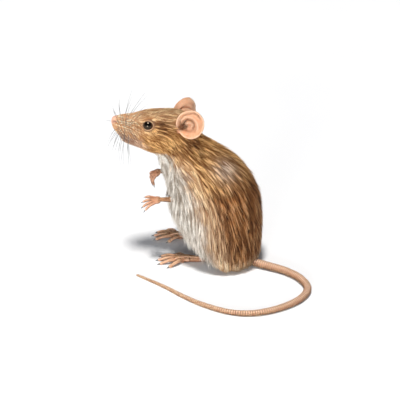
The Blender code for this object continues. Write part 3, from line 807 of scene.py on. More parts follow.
def foreleg(side, word):
    *points, curl, roll = FORELEGS[word]
    elbow, wrist, aim = (np.array(p) for p in points)
    forward = unit(aim - wrist)
    out = np.array((side, 0.0, 0.0))
    across = unit(out - forward * np.dot(out, forward))
    up = np.cross(forward, across) * side
    turn = np.array(Matrix.Rotation(math.radians(-roll * side), 3, Vector(forward)))
    across, up = turn @ across, turn @ up
    arm = smooth_line((elbow, elbow + (wrist - elbow) * 0.55, wrist, wrist + forward * 1.2), 6)
    palm = wrist + forward * 1.6
    lumps = [
        tube(arm, spread(ARM_RADII, len(arm)), 20),
        ball(palm, PALM_RADII, (across, forward, up)),
        ball(palm - up * 0.45 - forward * 0.9, (0.95, 0.75, 0.6), (across, forward, up)),
    ]
    claws = []
    curl = math.radians(curl)
    for number in range(FINGERS):
        share = number - (FINGERS - 1) / 2
        angle = math.radians(FINGER_SPREAD * share)
        way = forward * math.cos(angle) + across * math.sin(angle)
        bent = way * math.cos(curl) - up * math.sin(curl)
        length = FINGER_LENGTH * (1.0 - 0.07 * share**2)
        root = palm + forward * 0.9 + across * share * FINGER_GAP
        knuckle = root + (way + bent) * length * 0.25 + up * 0.3
        tip = knuckle + bent * length * 0.5 - up * 0.2
        line = smooth_line((root, knuckle, tip), 7)
        lumps.append(tube(line, spread(FINGER_RADII, len(line)), 14))
        lumps.append(ball(root - up * 0.42 + way * 0.3, (0.42, 0.5, 0.4), (across, forward, up)))
        lumps.append(ball(tip - up * 0.14, (0.36, 0.36, 0.34)))
        claws.append(claw(tip + up * 0.1, tip - line[-4], 0.85))
    return fused(lumps, HAND_VOXEL, 3), claws


forelegs = [foreleg(side, word) for side, word in SIDES]
print("foreleg:", [len(leg[0][0]) for leg in forelegs], "points")

# %% [markdown]
# ## The tail
# The tail is about as long as the body and lies in one loop on the floor. It looks ringed,
# because its skin is made of well over a hundred rows of tiny scales. Five rings of points for
# each row are enough to let it step in at the groove between two rows, like a stack of cups.

# %% Ring the tail
TAIL_ROUTE = (
    (9.5, 6.5),
    (12.4, 10.8),
    (14.8, 15.8),
    (17.9, 21.0),
    (22.9, 25.6),
    (29.8, 27.7),
    (37.0, 24.4),
    (42.8, 17.0),
    (45.9, 8.3),
    (45.1, -0.2),
    (40.5, -8.7),
    (34.9, -15.6),
    (27.7, -22.8),
    (22.8, -28.4),
    (18.7, -33.3),
)
TAIL_ROOT_RADIUS, TAIL_TIP_RADIUS, TAIL_ROOT_RISE = 1.55, 0.36, 0.6
SCALE_ROWS, ROW_STEPS, TAIL_SIDES = 134, 5, 20
GROOVE_WIDTH, GROOVE_DEPTH = 0.2, 0.075  # as shares of a row and of the radius


def tail_radius(share):
    return TAIL_TIP_RADIUS + (TAIL_ROOT_RADIUS - TAIL_TIP_RADIUS) * (1.0 - share**1.25) ** 0.9


def tail():
    route = smooth_line([(x, y, 0.0) for x, y in TAIL_ROUTE], 12)
    walked = np.concatenate(([0.0], np.cumsum(np.linalg.norm(np.diff(route, axis=0), axis=1))))
    share = np.linspace(0.0, 1.0, SCALE_ROWS * ROW_STEPS)
    line = np.stack([np.interp(share * walked[-1], walked, route[:, axis]) for axis in range(3)], -1)
    radius = tail_radius(share)
    rise = TAIL_ROOT_RISE * np.maximum(0.0, 1.0 - share / 0.14) ** 2
    line[:, 2] = radius - FLAT + rise
    row = (share * SCALE_ROWS) % 1.0
    groove = bell(np.minimum(row, 1.0 - row), GROOVE_WIDTH)
    ringed = radius * (1.0 - GROOVE_DEPTH * groove)
    points, faces = tube(line, ringed, TAIL_SIDES, round_ends=False)
    points[:, 2] = np.maximum(points[:, 2], 0.0)
    # how high each point lies on its ring, from -1 at the floor to 1 on top
    centre_height, ring_radius, ring_groove = (
        np.repeat(measure, TAIL_SIDES) for measure in (line[:, 2], radius, groove)
    )
    ring_height = (points[:-2, 2] - centre_height) / ring_radius
    # painted shade in the grooves between scale rows and on the underside, and a painted highlight along
    # the top
    shade = 0.95 * ring_groove + 0.9 * smoothstep(0.15, -0.7, ring_height)
    light = smoothstep(0.25, 0.95, ring_height) * (1 - ring_groove)
    shade, light = (np.append(np.clip(tint, 0, 1), (0.0, 0.0)) for tint in (shade, light))
    return (points, faces), shade, light, (line, radius, share)


tail_shape, tail_shade, tail_top_highlight, tail_bones = tail()
print("tail:", len(tail_shape[0]), "points, tip at", np.round(tail_bones[0][-1], 1))

# %% [markdown]
# ## Markings
# A field mouse is sandy ginger above, darker along the back and rump, and white below, with a
# fairly sharp border along the flank. These are properties of a place on the body, so they are
# worked out from where a point lies, along and around, and kept on the mesh as attributes.
# Skin and coat ask the same function, so they can't disagree.
# The marks also hold a painted sheen behind the shoulders, and painted shade in the face's cuts.

# %% Markings from the place on the body
DARK_PLACES = (  # out, forward and up on the head, then how dark and how wide
    ((6.9, 5.8, 2.8), 0.85, 3.7),
    ((5.3, -5.4, -1.0), 1.0, 3.6),
    ((4.2, 15.2, 0.7), 0.5, 1.2),
)
SHEEN_SPOT = np.array((8.9, -1.5, 36.9))  # a painted sheen behind each shoulder, where light catches the coat
# The border of the white: millimetres from the nose, and degrees from the middle of the belly.
BORDER_STOPS = (0.0, 8.0, 16.0, 21.0, 26.0, 31.0, 38.0, 46.0, 54.0, 63.0, 72.0, 79.0)
BORDER_ANGLE = (8.0, 14.0, 18.0, 30.0, 54.0, 64.0, 70.0, 72.0, 80.0, 87.0, 92.0, 95.0)


def markings(points):
    along, around, *_ = body_place(points)
    angle = np.degrees(np.abs(around))
    forward, up = head_place(points)[:, 1:].T
    on_the_head = smoothstep(30.0, 22.0, along)
    border = np.interp(along, BORDER_STOPS, BORDER_ANGLE)
    wave = 3.0 * np.sin(along * 0.55) + 2.5 * np.sin(along * 1.3 + 1.0)
    soft = np.interp(along, (20.0, 34.0), (9.0, 15.0))
    white = smoothstep(1.0, -1.0, (angle - border - wave * smoothstep(20, 34, along)) / soft)
    dark = smoothstep(50.0, 114.0, angle) * smoothstep(41.0, 52.0, along)
    dark = np.maximum(dark, 0.3 * smoothstep(22.0, 27.0, along) * smoothstep(90.0, 60.0, along))
    # a painted sheen, paler and greyer, where light catches the coat behind each shoulder
    silver = np.zeros(len(points))
    for side in (1, -1):
        for place, strength, width in DARK_PLACES:
            spot = on_head(side * place[0], *place[1:])
            near = bell(np.linalg.norm(points - spot, axis=1), width)
            dark = np.maximum(dark, strength * near)
        silver = np.maximum(silver, bell(np.linalg.norm(points - SHEEN_SPOT * (side, 1, 1), axis=1), 4.2))
    # the face is paler towards the nose, along the crown and round the eyes
    pale = smoothstep(9.0, 18.0, forward) * on_the_head
    pale = np.maximum(pale, 0.45 * smoothstep(1.5, 4.5, up) * on_the_head) * (1 - 0.9 * dark)
    for centre in EYES.values():
        pale = np.maximum(pale, 0.5 * bell(np.linalg.norm(points - centre, axis=1), 2.7))
    hem = smoothstep(6.0, 1.0, points[:, 2]) * (along > 50)
    # a tan edge where the ginger meets the white
    edge = bell(angle - border - 14.0, 12.0) * smoothstep(26.0, 36.0, along)
    # the lower lip and jaw show pink through thin hair
    lip = smoothstep(8.0, 12.0, forward) * smoothstep(22.0, 20.5, forward) * smoothstep(-4.0, -5.4, up)
    return {
        # the face's lines: painted shade in its cuts, and dark whisker roots
        "line": face_shade_and_whisker_dots(points),
        "lip": 0.8 * lip * on_the_head,
        "white": white,
        "dark": np.clip(dark * (1 - 0.6 * hem), 0, 1),
        "pale": np.maximum(pale, 0.45 * edge),
        "hem": hem,
        "silver": silver,
    }


# %% [markdown]
# ## Put the skin together
# The body, lids, ears, forelegs, feet and tail become one mesh. Each point keeps how far it is
# each kind of skin: bare ear, bare paw, tail, nose or lid. One material reads these and blends
# its finish from them, so that no edge shows where fur gives way to bare skin.

# %% Kinds of skin
MARKS = ("line", "lip", "white", "dark", "pale", "hem", "silver")
KINDS = ("ear", "paw", "tail", "nose", "lid", "shade", *MARKS)


def kinds(shape, **known):
    """The attributes of a shape's points, nothing where they aren't given."""
    values = {kind: np.zeros(len(shape[0])) for kind in KINDS}
    for kind, value in known.items():
        values[kind] = values[kind] + value
    return values


def inner_face(side, sheet, tint):
    """Painted shade and highlights belong on the face of the ear that looks into its hollow."""
    half = len(tint) // 2
    depth = ear_place(side, sheet[0])[:, 1]
    if depth[:half].mean() > depth[half:].mean():
        return np.concatenate((tint[half:], tint[:half]))
    return tint


skin_parts = []
nose = muzzle_lines(body[0])[0]
body_kinds = kinds(body, nose=nose, ear=in_cup(body[0]), **markings(body[0]))
for side, _ in SIDES:
    canal = np.linalg.norm((ear_place(side, body[0]) - EAR_CANAL) / (1.0, 2.5, 1.2), axis=1)
    body_kinds["ear"] = np.maximum(body_kinds["ear"], smoothstep(2.4, 1.8, canal))
    body_kinds["shade"] = np.maximum(body_kinds["shade"], bell(canal, 1.1))
skin_parts.append((body, body_kinds))
for (side, word), lid_shape, (sheet, shade, light), (foot, _), (leg, _) in zip(
    SIDES, lids, ears, hind_feet, forelegs
):
    edge = np.zeros(len(lid_shape[0]))
    edge[: LID_DARK_RINGS * LID_STEPS] = 1.0  # the rings next to the eyeball
    skin_parts.append((lid_shape, kinds(lid_shape, lid=1.0, shade=edge, pale=1.0)))
    # the ear's painted shade and painted highlight
    painted_shade_and_highlight = {"shade": inner_face(side, sheet, shade), "pale": inner_face(side, sheet, light)}
    skin_parts.append((sheet, kinds(sheet, ear=1.0, **painted_shade_and_highlight)))
    # painted shade in creases and undersides, painted highlight on ridges; forearm darker to the elbow
    elbow, wrist = (np.array(p) for p in FORELEGS[word][:2])
    to_the_elbow = smoothstep(0.0, 5.0, (wrist - leg[0]) @ unit(wrist - elbow))
    for limb, upper in ((foot, 0.0), (leg, 0.7 * to_the_elbow)):
        hollow = hollows(limb)
        underside_shade = smoothstep(0.1, -0.7, normals_of(limb)[:, 2])
        dark = np.clip(1.2 * np.maximum(hollow, 0.0) + 0.75 * underside_shade + upper, 0, 1)
        ridge = 0.7 * smoothstep(0.25, 1.0, -hollow)
        skin_parts.append((limb, kinds(limb, paw=1.0, shade=dark, pale=ridge)))
skin_parts.append((tail_shape, kinds(tail_shape, tail=1.0, shade=tail_shade, pale=tail_top_highlight)))


def keep_attributes(mesh, values):
    for name, value in values.items():
        attribute = mesh.attributes.new(name, "FLOAT", "POINT")
        attribute.data.foreach_set("value", value.astype(np.float32))


skin_shape = merged([shape for shape, _ in skin_parts])
skin_mesh = mesh_from("skin", skin_shape, MM)
keep_attributes(
    skin_mesh, {kind: np.concatenate([values[kind] for _, values in skin_parts]) for kind in KINDS}
)
skin = bpy.data.objects.new("skin", skin_mesh)
bpy.context.scene.collection.objects.link(skin)
print("skin:", len(skin_mesh.vertices), "points,", len(skin_mesh.polygons), "faces")

# %% [markdown]
# ## Mixing a finish
# A finish is a small graph of shader nodes. Written out node by node it hides what it says, so
# one class wraps a socket and lets Python's own signs stand for Math nodes: `mask * 0.8` adds
# a Multiply node, and `1 - mask` a Subtract node. Colours need Mix nodes, because a Math node would turn them grey. All other
# nodes come from one method, which sets a node's settings first and then its sockets.


# %% Sockets that can be added and multiplied
class Wire:
    """A socket of a finish, which can be used in sums."""

    def __init__(self, finish, socket):
        self.finish, self.socket = finish, socket

    def sum(self, operation, first, second):
        return self.finish.node("Math", {"operation": operation}, {0: first, 1: second})

    def __add__(self, other):
        return self.sum("ADD", self, other)

    def __sub__(self, other):
        return self.sum("SUBTRACT", self, other)

    def __rsub__(self, other):
        return self.sum("SUBTRACT", other, self)

    def __mul__(self, other):
        return self.sum("MULTIPLY", self, other)

    __radd__, __rmul__ = __add__, __mul__

    def above(self, low, high):
        """0 below the low value and 1 above the high one, with a soft step between."""
        settings = {"interpolation_type": "SMOOTHSTEP"}
        return self.finish.node("MapRange", settings, {"Value": self, 1: low, 2: high})


class Graph:
    """The nodes of a material or of the world."""

    def __init__(self, tree, shader):
        self.tree, self.shader = tree, tree.nodes[shader]

    def node(self, kind, settings=None, inputs=None, output=0):
        node = self.tree.nodes.new("ShaderNode" + kind)
        for setting, value in (settings or {}).items():
            setattr(node, setting, value)
        for socket, value in (inputs or {}).items():
            if isinstance(value, Wire):
                self.tree.links.new(value.socket, node.inputs[socket])
            else:
                node.inputs[socket].default_value = value
        return Wire(self, node.outputs[output])

    def mix(self, share, first, second):
        """From the first colour to the second as the share goes from 0 to 1."""
        return self.node("Mix", {"data_type": "RGBA"}, {0: share, 6: first, 7: second}, 2)

    def kept(self, name):
        """An attribute that the mesh keeps at its points."""
        return self.node("Attribute", {"attribute_name": name}, output="Fac")

    def mottle(self, size, detail=2.0):
        """Soft spots about this many millimetres across."""
        place = self.node("TexCoord", output="Object")
        scale = (1.0 / (MM * size),) * 3
        place = self.node("VectorMath", {"operation": "MULTIPLY"}, {0: place, 1: scale})
        return self.node("TexNoise", {}, {"Vector": place, "Scale": 1.0, "Detail": detail})

    def connect(self, socket, wire):
        self.tree.links.new(wire.socket, self.shader.inputs[socket])


class Finish(Graph):
    """A material with its one Principled shader."""

    def __init__(self, name, **constants):
        self.material = bpy.data.materials.new(name)
        self.material.use_nodes = True
        super().__init__(self.material.node_tree, "Principled BSDF")
        for socket, value in constants.items():
            self.shader.inputs[socket.replace("_", " ")].default_value = value

    def bump(self, height, depth):
        """Bumps as deep as this many millimetres."""
        inputs = {"Strength": 1.0, "Distance": depth * MM, "Height": height}
        self.connect("Normal", self.node("Bump", {}, inputs))


def colour(red, green, blue):
    """An everyday colour, from 0 to 255, as the linear values that a shader uses."""
    shares = (value / 255.0 for value in (red, green, blue))
    return (*(s / 12.92 if s <= 0.04045 else ((s + 0.055) / 1.055) ** 2.4 for s in shares), 1.0)


# %% [markdown]
# ## Bare skin and the skin under the fur
# Bare mouse skin is thin and pink-tan, with blood close below it: warmest on the toes and
# nose. The tail is browner. Ears, paws and tail get painted shade in hollows and creases, in
# the step of each row of scales and on the undersides, and painted highlights on ridges, on the
# rim of the ear and along the top of the tail. Below the fur the skin is painted dark, as painted
# shade in the depth of the coat, so that a gap between tufts reads as depth and not as a hole.

# %% The skin's finish and what it reads
skin_finish = Finish("skin", Roughness=0.52, Specular_IOR_Level=0.35, Subsurface_Weight=0.07)
skin_finish.shader.inputs["Subsurface Radius"].default_value = (1.0, 0.45, 0.3)
skin_finish.shader.inputs["Subsurface Scale"].default_value = 0.0008
blotches = skin_finish.mottle(1.6, 3.0).above(0.35, 0.65)
grain = skin_finish.mottle(0.35, 3.0)
shade = skin_finish.kept("shade")

# painted shade in the depth of the coat: the skin under the fur is darker than the hairs above it
shaded_under_coat = skin_finish.mix(blotches, colour(96, 62, 36), colour(124, 82, 50))
for mark, tint in (
    ("dark", (56, 36, 22)),
    ("pale", (186, 138, 100)),
    ("lip", (206, 160, 138)),
    ("white", (180, 164, 146)),
    # painted shade in the cuts of the face, and dark whisker roots
    ("line", (70, 42, 30)),
):
    shaded_under_coat = skin_finish.mix(skin_finish.kept(mark), shaded_under_coat, colour(*tint))


# %% Bare skins and how they blend
def with_painted_highlight_and_shade(skin_colour, ridge, crease):
    """A bare skin, with a painted highlight on its ridges and painted shade in its creases."""
    lit = skin_finish.mix(skin_finish.kept("pale"), skin_colour, colour(*ridge))
    return skin_finish.mix(shade, lit, colour(*crease))


ear_colour = skin_finish.mix(blotches, colour(238, 178, 140), colour(228, 164, 126))
paw_colour = skin_finish.mix(blotches, colour(194, 140, 106), colour(170, 116, 84))
paw_colour = skin_finish.mix(grain.above(0.5, 0.75), paw_colour, colour(142, 94, 68))
tail_colour = skin_finish.mix(blotches, colour(198, 144, 108), colour(168, 116, 82))
# ear, paw and tail: their colour, then a painted highlight and painted shade
bare_skins = {
    "ear": with_painted_highlight_and_shade(ear_colour, (247, 202, 168), (92, 52, 30)),
    "paw": with_painted_highlight_and_shade(paw_colour, (240, 196, 164), (70, 42, 28)),
    "tail": with_painted_highlight_and_shade(tail_colour, (250, 206, 176), (58, 36, 25)),
    "nose": skin_finish.mix(grain.above(0.4, 0.7), colour(232, 182, 154), colour(214, 158, 130)),
    "lid": skin_finish.mix(shade, colour(222, 176, 130), colour(52, 32, 22)),
}
look = shaded_under_coat
for kind, bare_skin in bare_skins.items():
    look = skin_finish.mix(skin_finish.kept(kind), look, bare_skin)
# painted shade in the nostrils and the groove on the nose pad
look = skin_finish.mix(skin_finish.kept("line") * skin_finish.kept("nose"), look, colour(96, 52, 40))
skin_finish.connect("Base Color", look)
skin_finish.bump(grain + skin_finish.mottle(0.16) * 0.6, 0.05)
skin_mesh.materials.append(skin_finish.material)
print("nodes in the skin's finish:", len(skin_finish.tree.nodes))

# %% [markdown]
# ## Eyes
# The eye of a field mouse is a large, almost black bead. The ball is not quite round: the clear
# cornea stands out a little in front. A very smooth surface over near-black gives the wet look,
# and a warmer brown at the rim keeps it from being a hole.

# %% Make the eyes
eye_finish = Finish("eye", Roughness=0.05, Specular_IOR_Level=0.6)
eye_finish.shader.inputs["Specular Tint"].default_value = (0.9, 0.68, 0.48, 1.0)
iris = eye_finish.kept("iris")
brown = eye_finish.mix(eye_finish.mottle(0.5), colour(44, 24, 12), colour(74, 42, 22))
eye_finish.connect("Base Color", eye_finish.mix(iris, colour(6, 4, 3), brown))


def eyeball(side, word):
    slit, rise, look = eye_axes(side)
    points, faces = ball((0, 0, 0), (1.0, 1.0, 1.0), (slit, rise, look), 40, 56)
    tilt = np.degrees(np.arccos(np.clip(unit(points) @ look, -1, 1)))
    radius = EYE_RADIUS * (1.0 + 0.025 * smoothstep(64.0, 42.0, tilt))
    return (EYES[word] + unit(points) * radius[:, None], faces), smoothstep(38.0, 58.0, tilt)


def stand(name, shape, finish, replaced=(), attributes=None):
    """A piece of the mouse, made from a shape: it rides on the one body and has its finish."""
    mesh = shape if isinstance(shape, bpy.types.Mesh) else mesh_from(name, shape, MM)
    keep_attributes(mesh, attributes or {})
    mesh.materials.clear()
    mesh.materials.append(finish.material)
    piece = bpy.data.objects.new(name, mesh)
    bpy.context.scene.collection.objects.link(piece)
    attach(piece, "root")
    if replaced:
        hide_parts(*replaced)


for side, word in SIDES:
    shape, iris_mask = eyeball(side, word)
    stand(f"eyeball_{word}", shape, eye_finish, [f"eye_{word}"], {"iris": iris_mask})

print("eyeballs:", [word for _, word in SIDES])

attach(skin, "root")
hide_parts(*(name for name in frame["nodes"] if not name.startswith("eye")))

# %% [markdown]
# ## Claws and whiskers
# Claws are thin grey horn. Whiskers are stiff hairs that grow in rows on the pad beside the
# nose, the longest at the back: the upper rows fan upwards and the lower ones down. Each is a
# tube that tapers from about a seventh of a millimetre to almost nothing and bends slightly
# under its own weight.

# %% Make the claws
FLOOR_GAP = 0.03  # mm by which claws and hair keep off the floor
horn = Finish("claw", Roughness=0.35, Specular_IOR_Level=0.5)
horn.connect("Base Color", horn.mix(horn.mottle(0.4), colour(74, 76, 80), colour(128, 128, 128)))
claws = {
    "claws_hind_left": hind_feet[0][1],
    "claws_hind_right": hind_feet[1][1],
    "claws_hand_left": forelegs[0][1],
    "claws_hand_right": forelegs[1][1],
}
for name, horns in claws.items():
    points, faces = merged(horns)
    points[:, 2] = np.maximum(points[:, 2], FLOOR_GAP)
    stand(name, (points, faces), horn)
print("claws:", {name: len(horns) for name, horns in claws.items()})

# %% Find the nearest skin
skin_tree = KDTree(len(body[0]))
for index, point in enumerate(body[0]):
    skin_tree.insert(point, index)
skin_tree.balance()
skin_normals = normals_of(body)


def settled(points, height):
    """The points moved to this height over the skin nearest to them, and the skin's normals."""
    near = np.array([skin_tree.find(point)[1] for point in points])
    normals = skin_normals[near]
    gap = ((points - body[0][near]) * normals).sum(1) - height
    return points - normals * gap[:, None], normals


# %% Grow the whiskers
WHISKER_TOP = 61.8  # cuts the highest whiskers short, near the top of the solids; real ones reach higher
ROW_FAN = (66, 38, -42, -74)  # degrees up from the level, from the top row to the lowest


def whiskers(side):
    """Rows from the top of the pad down, and in each from its front to its back."""
    shapes = []
    for row in range(WHISKER_ROWS):
        for column in range(WHISKER_COLUMNS):
            down, back = row / (WHISKER_ROWS - 1), column / (WHISKER_COLUMNS - 1)
            spot = on_head(side * 4.0, *pad_spot(row, column))
            root, _ = settled(spot[None], -0.25)
            fan = math.radians(np.interp(down, (0.0, 0.4, 0.6, 1.0), ROW_FAN))
            fan += math.radians(rng.uniform(-8, 8))
            swing = 0.95 - 0.6 * down - (1.2 - 0.58 * down) * back + rng.uniform(-0.1, 0.1)
            way = unit(head_way(side * 0.8 * math.cos(fan), swing, 1.25 * math.sin(fan)))
            sag = np.array((0.0, 0.1, -0.12)) * rng.uniform(0.6, 1.3)
            length = (8.0 + 4.5 * back) * rng.uniform(0.8, 1.1)
            rising = max(way[2] + sag[2], 0.05)
            length = min(length, (WHISKER_TOP - root[0, 2]) / rising)
            shares = np.linspace(0.0, 1.0, 14)[:, None]
            line = root + (way * shares + sag * shares**2) * length
            radii = np.interp(shares[:, 0], (0, 0.6, 1), (0.068, 0.048, 0.014))
            shapes.append(tube(line, radii, 6))
    return merged(shapes)


whisker_finish = Finish("whisker", Roughness=0.45)
whisker_tone = whisker_finish.mottle(3.0)
whisker_finish.connect(
    "Base Color", whisker_finish.mix(whisker_tone, colour(66, 64, 63), colour(112, 108, 105))
)
for side, word in SIDES:
    stand(f"whiskers_{word}", whiskers(side), whisker_finish)
print("whiskers on each side:", WHISKER_ROWS * WHISKER_COLUMNS)

# %% [markdown]
# ## What one tuft is
# A tuft is a thin three-sided spike of seven points: three at its root in the skin, three
# where it bends, and one at its tip. It leaves the skin at a low angle and then lies along the
# body, over the roots of the tufts behind it. Real hair strands or instanced objects would
# look alike here, but they are lost when the model is exported, so every tuft is plain mesh.
# The tufts' normals lean towards the normal of the skin below, which lights the coat as one
# soft surface and not as a heap of splinters.

# %% Tufts from arrays of roots
# Corners: 0 left, 1 right and 2 top of the root, 3 to 5 the same at the bend, and 6 the tip.
# Each is set off from the root, bend or tip by so many half widths to the right and upwards,
# and its normal leans to the left or right.
STATIONS = np.array((0, 0, 0, 1, 1, 1, 2))
TO_THE_RIGHT = np.array((-0.8, 0.8, 0.0, -1.0, 1.0, 0.0, 0.0))[:, None]
UPWARDS = np.array((0.0, 0.0, 0.7, 0.0, 0.0, 0.8, 0.0))[:, None]
NORMAL_LEAN = 0.42 * np.sign(TO_THE_RIGHT)
STRAND = (0.0, 0.0, 0.0, 0.45, 0.45, 0.45, 1.0)  # how far along its tuft each corner is
TUFT_FACES = np.array(
    (
        (0, 3, 4, 1),
        (1, 4, 5, 2),
        (2, 5, 3, 0),
        (3, 6, 4, -1),
        (4, 6, 5, -1),
        (5, 6, 3, -1),
        (0, 1, 2, -1),
    )
)
PATCH = 0.003  # how wide each tuft's patch on the unwrap is
PATCH_CORNERS = np.array(
    ((0.0, 0.0), (1.0, 0.0), (0.5, 0.0), (0.0, 0.5), (1.0, 0.5), (0.5, 0.5), (0.5, 1.0))
)
CAP_PATCH = np.array(((0.0, 0.0), (1.0, 0.0), (0.5, 0.4)))
UNWRAP_START, UNWRAP_SPAN = 0.01, 0.975  # the part of the unwrap that roots take up


def tuft_arrays(root, bend, tip, normal, tip_normal, width):
    """Points and normals of many tufts: arrays of tufts by 7 corners by 3."""
    way = unit(tip - root)
    right = unit(np.cross(way, normal))
    top = unit(np.cross(right, way))[:, None]
    right = right[:, None]
    middles = np.stack((root, bend, tip), 1)[:, STATIONS]
    points = middles + (right * TO_THE_RIGHT + top * UPWARDS) * (width / 2)[:, None, None]
    below = np.stack((normal, unit(normal + tip_normal), tip_normal), 1)[:, STATIONS]
    return points, unit(below + right * NORMAL_LEAN)


# %% [markdown]
# ## The colours in one hair
# Each hair of the upper coat is banded: dark brown at its root and sandy ginger along most of
# it, with a paler tip on the light hairs. Dark guard hairs are scattered between, most of all
# where the coat is dark. On the belly the hairs are warm grey at the root and white to the
# tip. The finish reads how far along its tuft a point is, a tone that the tufts of one lock
# share, and the markings of the place where the tuft lies.

# %% Finish of the coat
coat_finish = Finish("coat", Roughness=0.62, Specular_IOR_Level=0.14, Sheen_Weight=0.02)
strand = coat_finish.kept("strand")
tone = coat_finish.kept("tone").above(0.12, 0.88)


def banded(low, high):
    """A colour of the coat, from its dark locks to its light ones."""
    return coat_finish.mix(tone, colour(*low), colour(*high))


coat_colour = banded((120, 62, 22), (255, 200, 126))
for mark, low, high in (
    ("dark", (32, 16, 7), (180, 114, 62)),
    ("pale", (218, 152, 100), (255, 244, 210)),
    # the painted sheen behind the shoulders
    ("silver", (124, 92, 68), (230, 206, 186)),
    ("hem", (200, 144, 92), (255, 238, 204)),
    ("lip", (150, 108, 86), (242, 206, 182)),
):
    coat_colour = coat_finish.mix(coat_finish.kept(mark), coat_colour, banded(low, high))
root_colour = coat_finish.mix(0.55, coat_colour, colour(48, 34, 24))
tip_light = coat_finish.mix(0.5, coat_colour, colour(255, 214, 160))
tip_colour = coat_finish.mix(tone.above(0.5, 1.0) * 0.8, coat_colour, tip_light)
upper = coat_finish.mix(strand.above(0.0, 0.4), root_colour, coat_colour)
upper = coat_finish.mix(strand.above(0.45, 1.0), upper, tip_colour)
guarded = coat_finish.kept("guard") * strand.above(0.1, 0.5)
upper = coat_finish.mix(guarded, upper, colour(46, 28, 16))

white = coat_finish.mix(tone.above(0.0, 0.7), colour(160, 143, 125), colour(253, 244, 231))
white = coat_finish.mix(strand.above(0.0, 0.5), colour(168, 150, 130), white)
furred = coat_finish.mix(coat_finish.kept("white"), upper, white)
# painted shade in the cuts of the face, and dark whisker roots
furred = coat_finish.mix(coat_finish.kept("line"), furred, colour(78, 48, 32))
coat_finish.connect("Base Color", furred)
print("nodes in the coat's finish:", len(coat_finish.tree.nodes))


# %% Join tufts in one piece
def coat_piece(name, arrays, unwrap, values):
    """One joined mesh of tufts, with its unwrap and what its finish reads."""
    points, normals = arrays
    count = len(points)
    points = points.copy()
    points[..., 2] = np.maximum(points[..., 2], FLOOR_GAP)
    faces = TUFT_FACES[None] + (np.arange(count) * len(STRAND))[:, None, None]
    faces[:, 3:, 3] = -1
    mesh = mesh_from(name, (points.reshape(-1, 3), faces.reshape(-1, 4)), MM)
    mesh.normals_split_custom_set_from_vertices(normals.reshape(-1, 3).astype(np.float32))
    corner = TUFT_FACES[TUFT_FACES >= 0]
    patch = PATCH_CORNERS[corner]
    patch[-3:] = CAP_PATCH
    low, high = unwrap.min(0), unwrap.max(0)
    spot = UNWRAP_START + UNWRAP_SPAN * (unwrap - low) / np.maximum(high - low, 1e-6)
    unwrapped = spot[:, None] + patch[None] * PATCH
    layer = mesh.uv_layers.new(name="OFBake")
    layer.data.foreach_set("uv", unwrapped.astype(np.float32).ravel())
    values = {key: np.repeat(value, len(STRAND)) for key, value in values.items()}
    values["strand"] = np.tile(STRAND, count)
    stand(name, mesh, coat_finish, attributes=values)
    mesh.calc_loop_triangles()
    print(f"{name}: {count} tufts, {len(mesh.loop_triangles)} triangles")
    return len(mesh.loop_triangles)


# %% [markdown]
# ## Lay the coat
# Roots are scattered over the skin evenly, by area, and closer where the fur is finer. The
# hair of a mouse all points from nose to tail, so each tuft lies along the middle line's way,
# turned flat on to the skin, and parts round the eyes and the ears. Half of the tufts are
# under-fur, short and broad, and the other half are long fine hairs that lie on top.

# %% How the coat changes along the body
COAT_LENGTH = (0.6, 0.8, 1.15, 1.6, 2.1, 2.9, 4.1, 5.2, 5.8, 5.2)
COAT_WIDTH = (0.07, 0.08, 0.1, 0.12, 0.15, 0.18, 0.21, 0.24, 0.25, 0.25)
TUFTS_PER_MM2 = (36.0, 36.0, 36.0, 34.0, 32.0, 28.0, 24.0, 22.0, 21.0, 22.0)
OVER_SHARE = 0.5  # the share of tufts that are long fine hairs lying on top
THINNED = 1.0


def scattered(shape, per_mm2):
    """Roots spread evenly over a shape: their places and normals."""
    points, faces = shape
    triangles = np.vstack((faces[:, :3], faces[faces[:, 3] >= 0][:, (0, 2, 3)]))
    a, b, c = (points[triangles[:, k]] for k in range(3))
    cross = np.cross(b - a, c - a)
    expected = np.linalg.norm(cross, axis=1) / 2 * per_mm2((a + b + c) / 3) * THINNED
    total = np.cumsum(expected)
    picks = np.searchsorted(total, np.arange(int(total[-1])) + rng.random(int(total[-1])))
    picks = np.minimum(picks, len(triangles) - 1)
    u, v = rng.random(len(picks)), rng.random(len(picks))
    over = u + v > 1
    u[over], v[over] = 1 - u[over], 1 - v[over]
    roots = a[picks] + (b[picks] - a[picks]) * u[:, None] + (c[picks] - a[picks]) * v[:, None]
    normals = normals_of(shape)[triangles[picks, 0]]
    return roots, normals


# %% Which way the fur lies
def laid_flat(ways, normals):
    return unit(ways - normals * (ways * normals).sum(1, keepdims=True))


def coat_way(roots, normals, ways):
    """Tailwards, down the cheeks, apart round the eyes and ears, and outwards at the floor."""
    place = head_place(roots)
    cheek = bell(place[:, 1] - 8.0, 7.0) * smoothstep(1.0, -4.0, place[:, 2]) * 0.55
    ways = ways + cheek[:, None] * head_way(0, -0.1, -1.0)
    for side, word in SIDES:
        for centre, reach, strength in (
            (EYES[word], 2.6, 1.5),
            (on_head(side * 8.0, 1.0, 1.5), 3.6, 0.9),
        ):
            away = roots - centre
            ways = ways + unit(away) * (strength * bell(np.linalg.norm(away, axis=1), reach))[:, None]
    low = smoothstep(6.0, 0.5, roots[:, 2])[:, None]
    outward = normals * (1.0, 1.0, 0.0)
    return laid_flat(ways + low * outward * 0.5, normals)


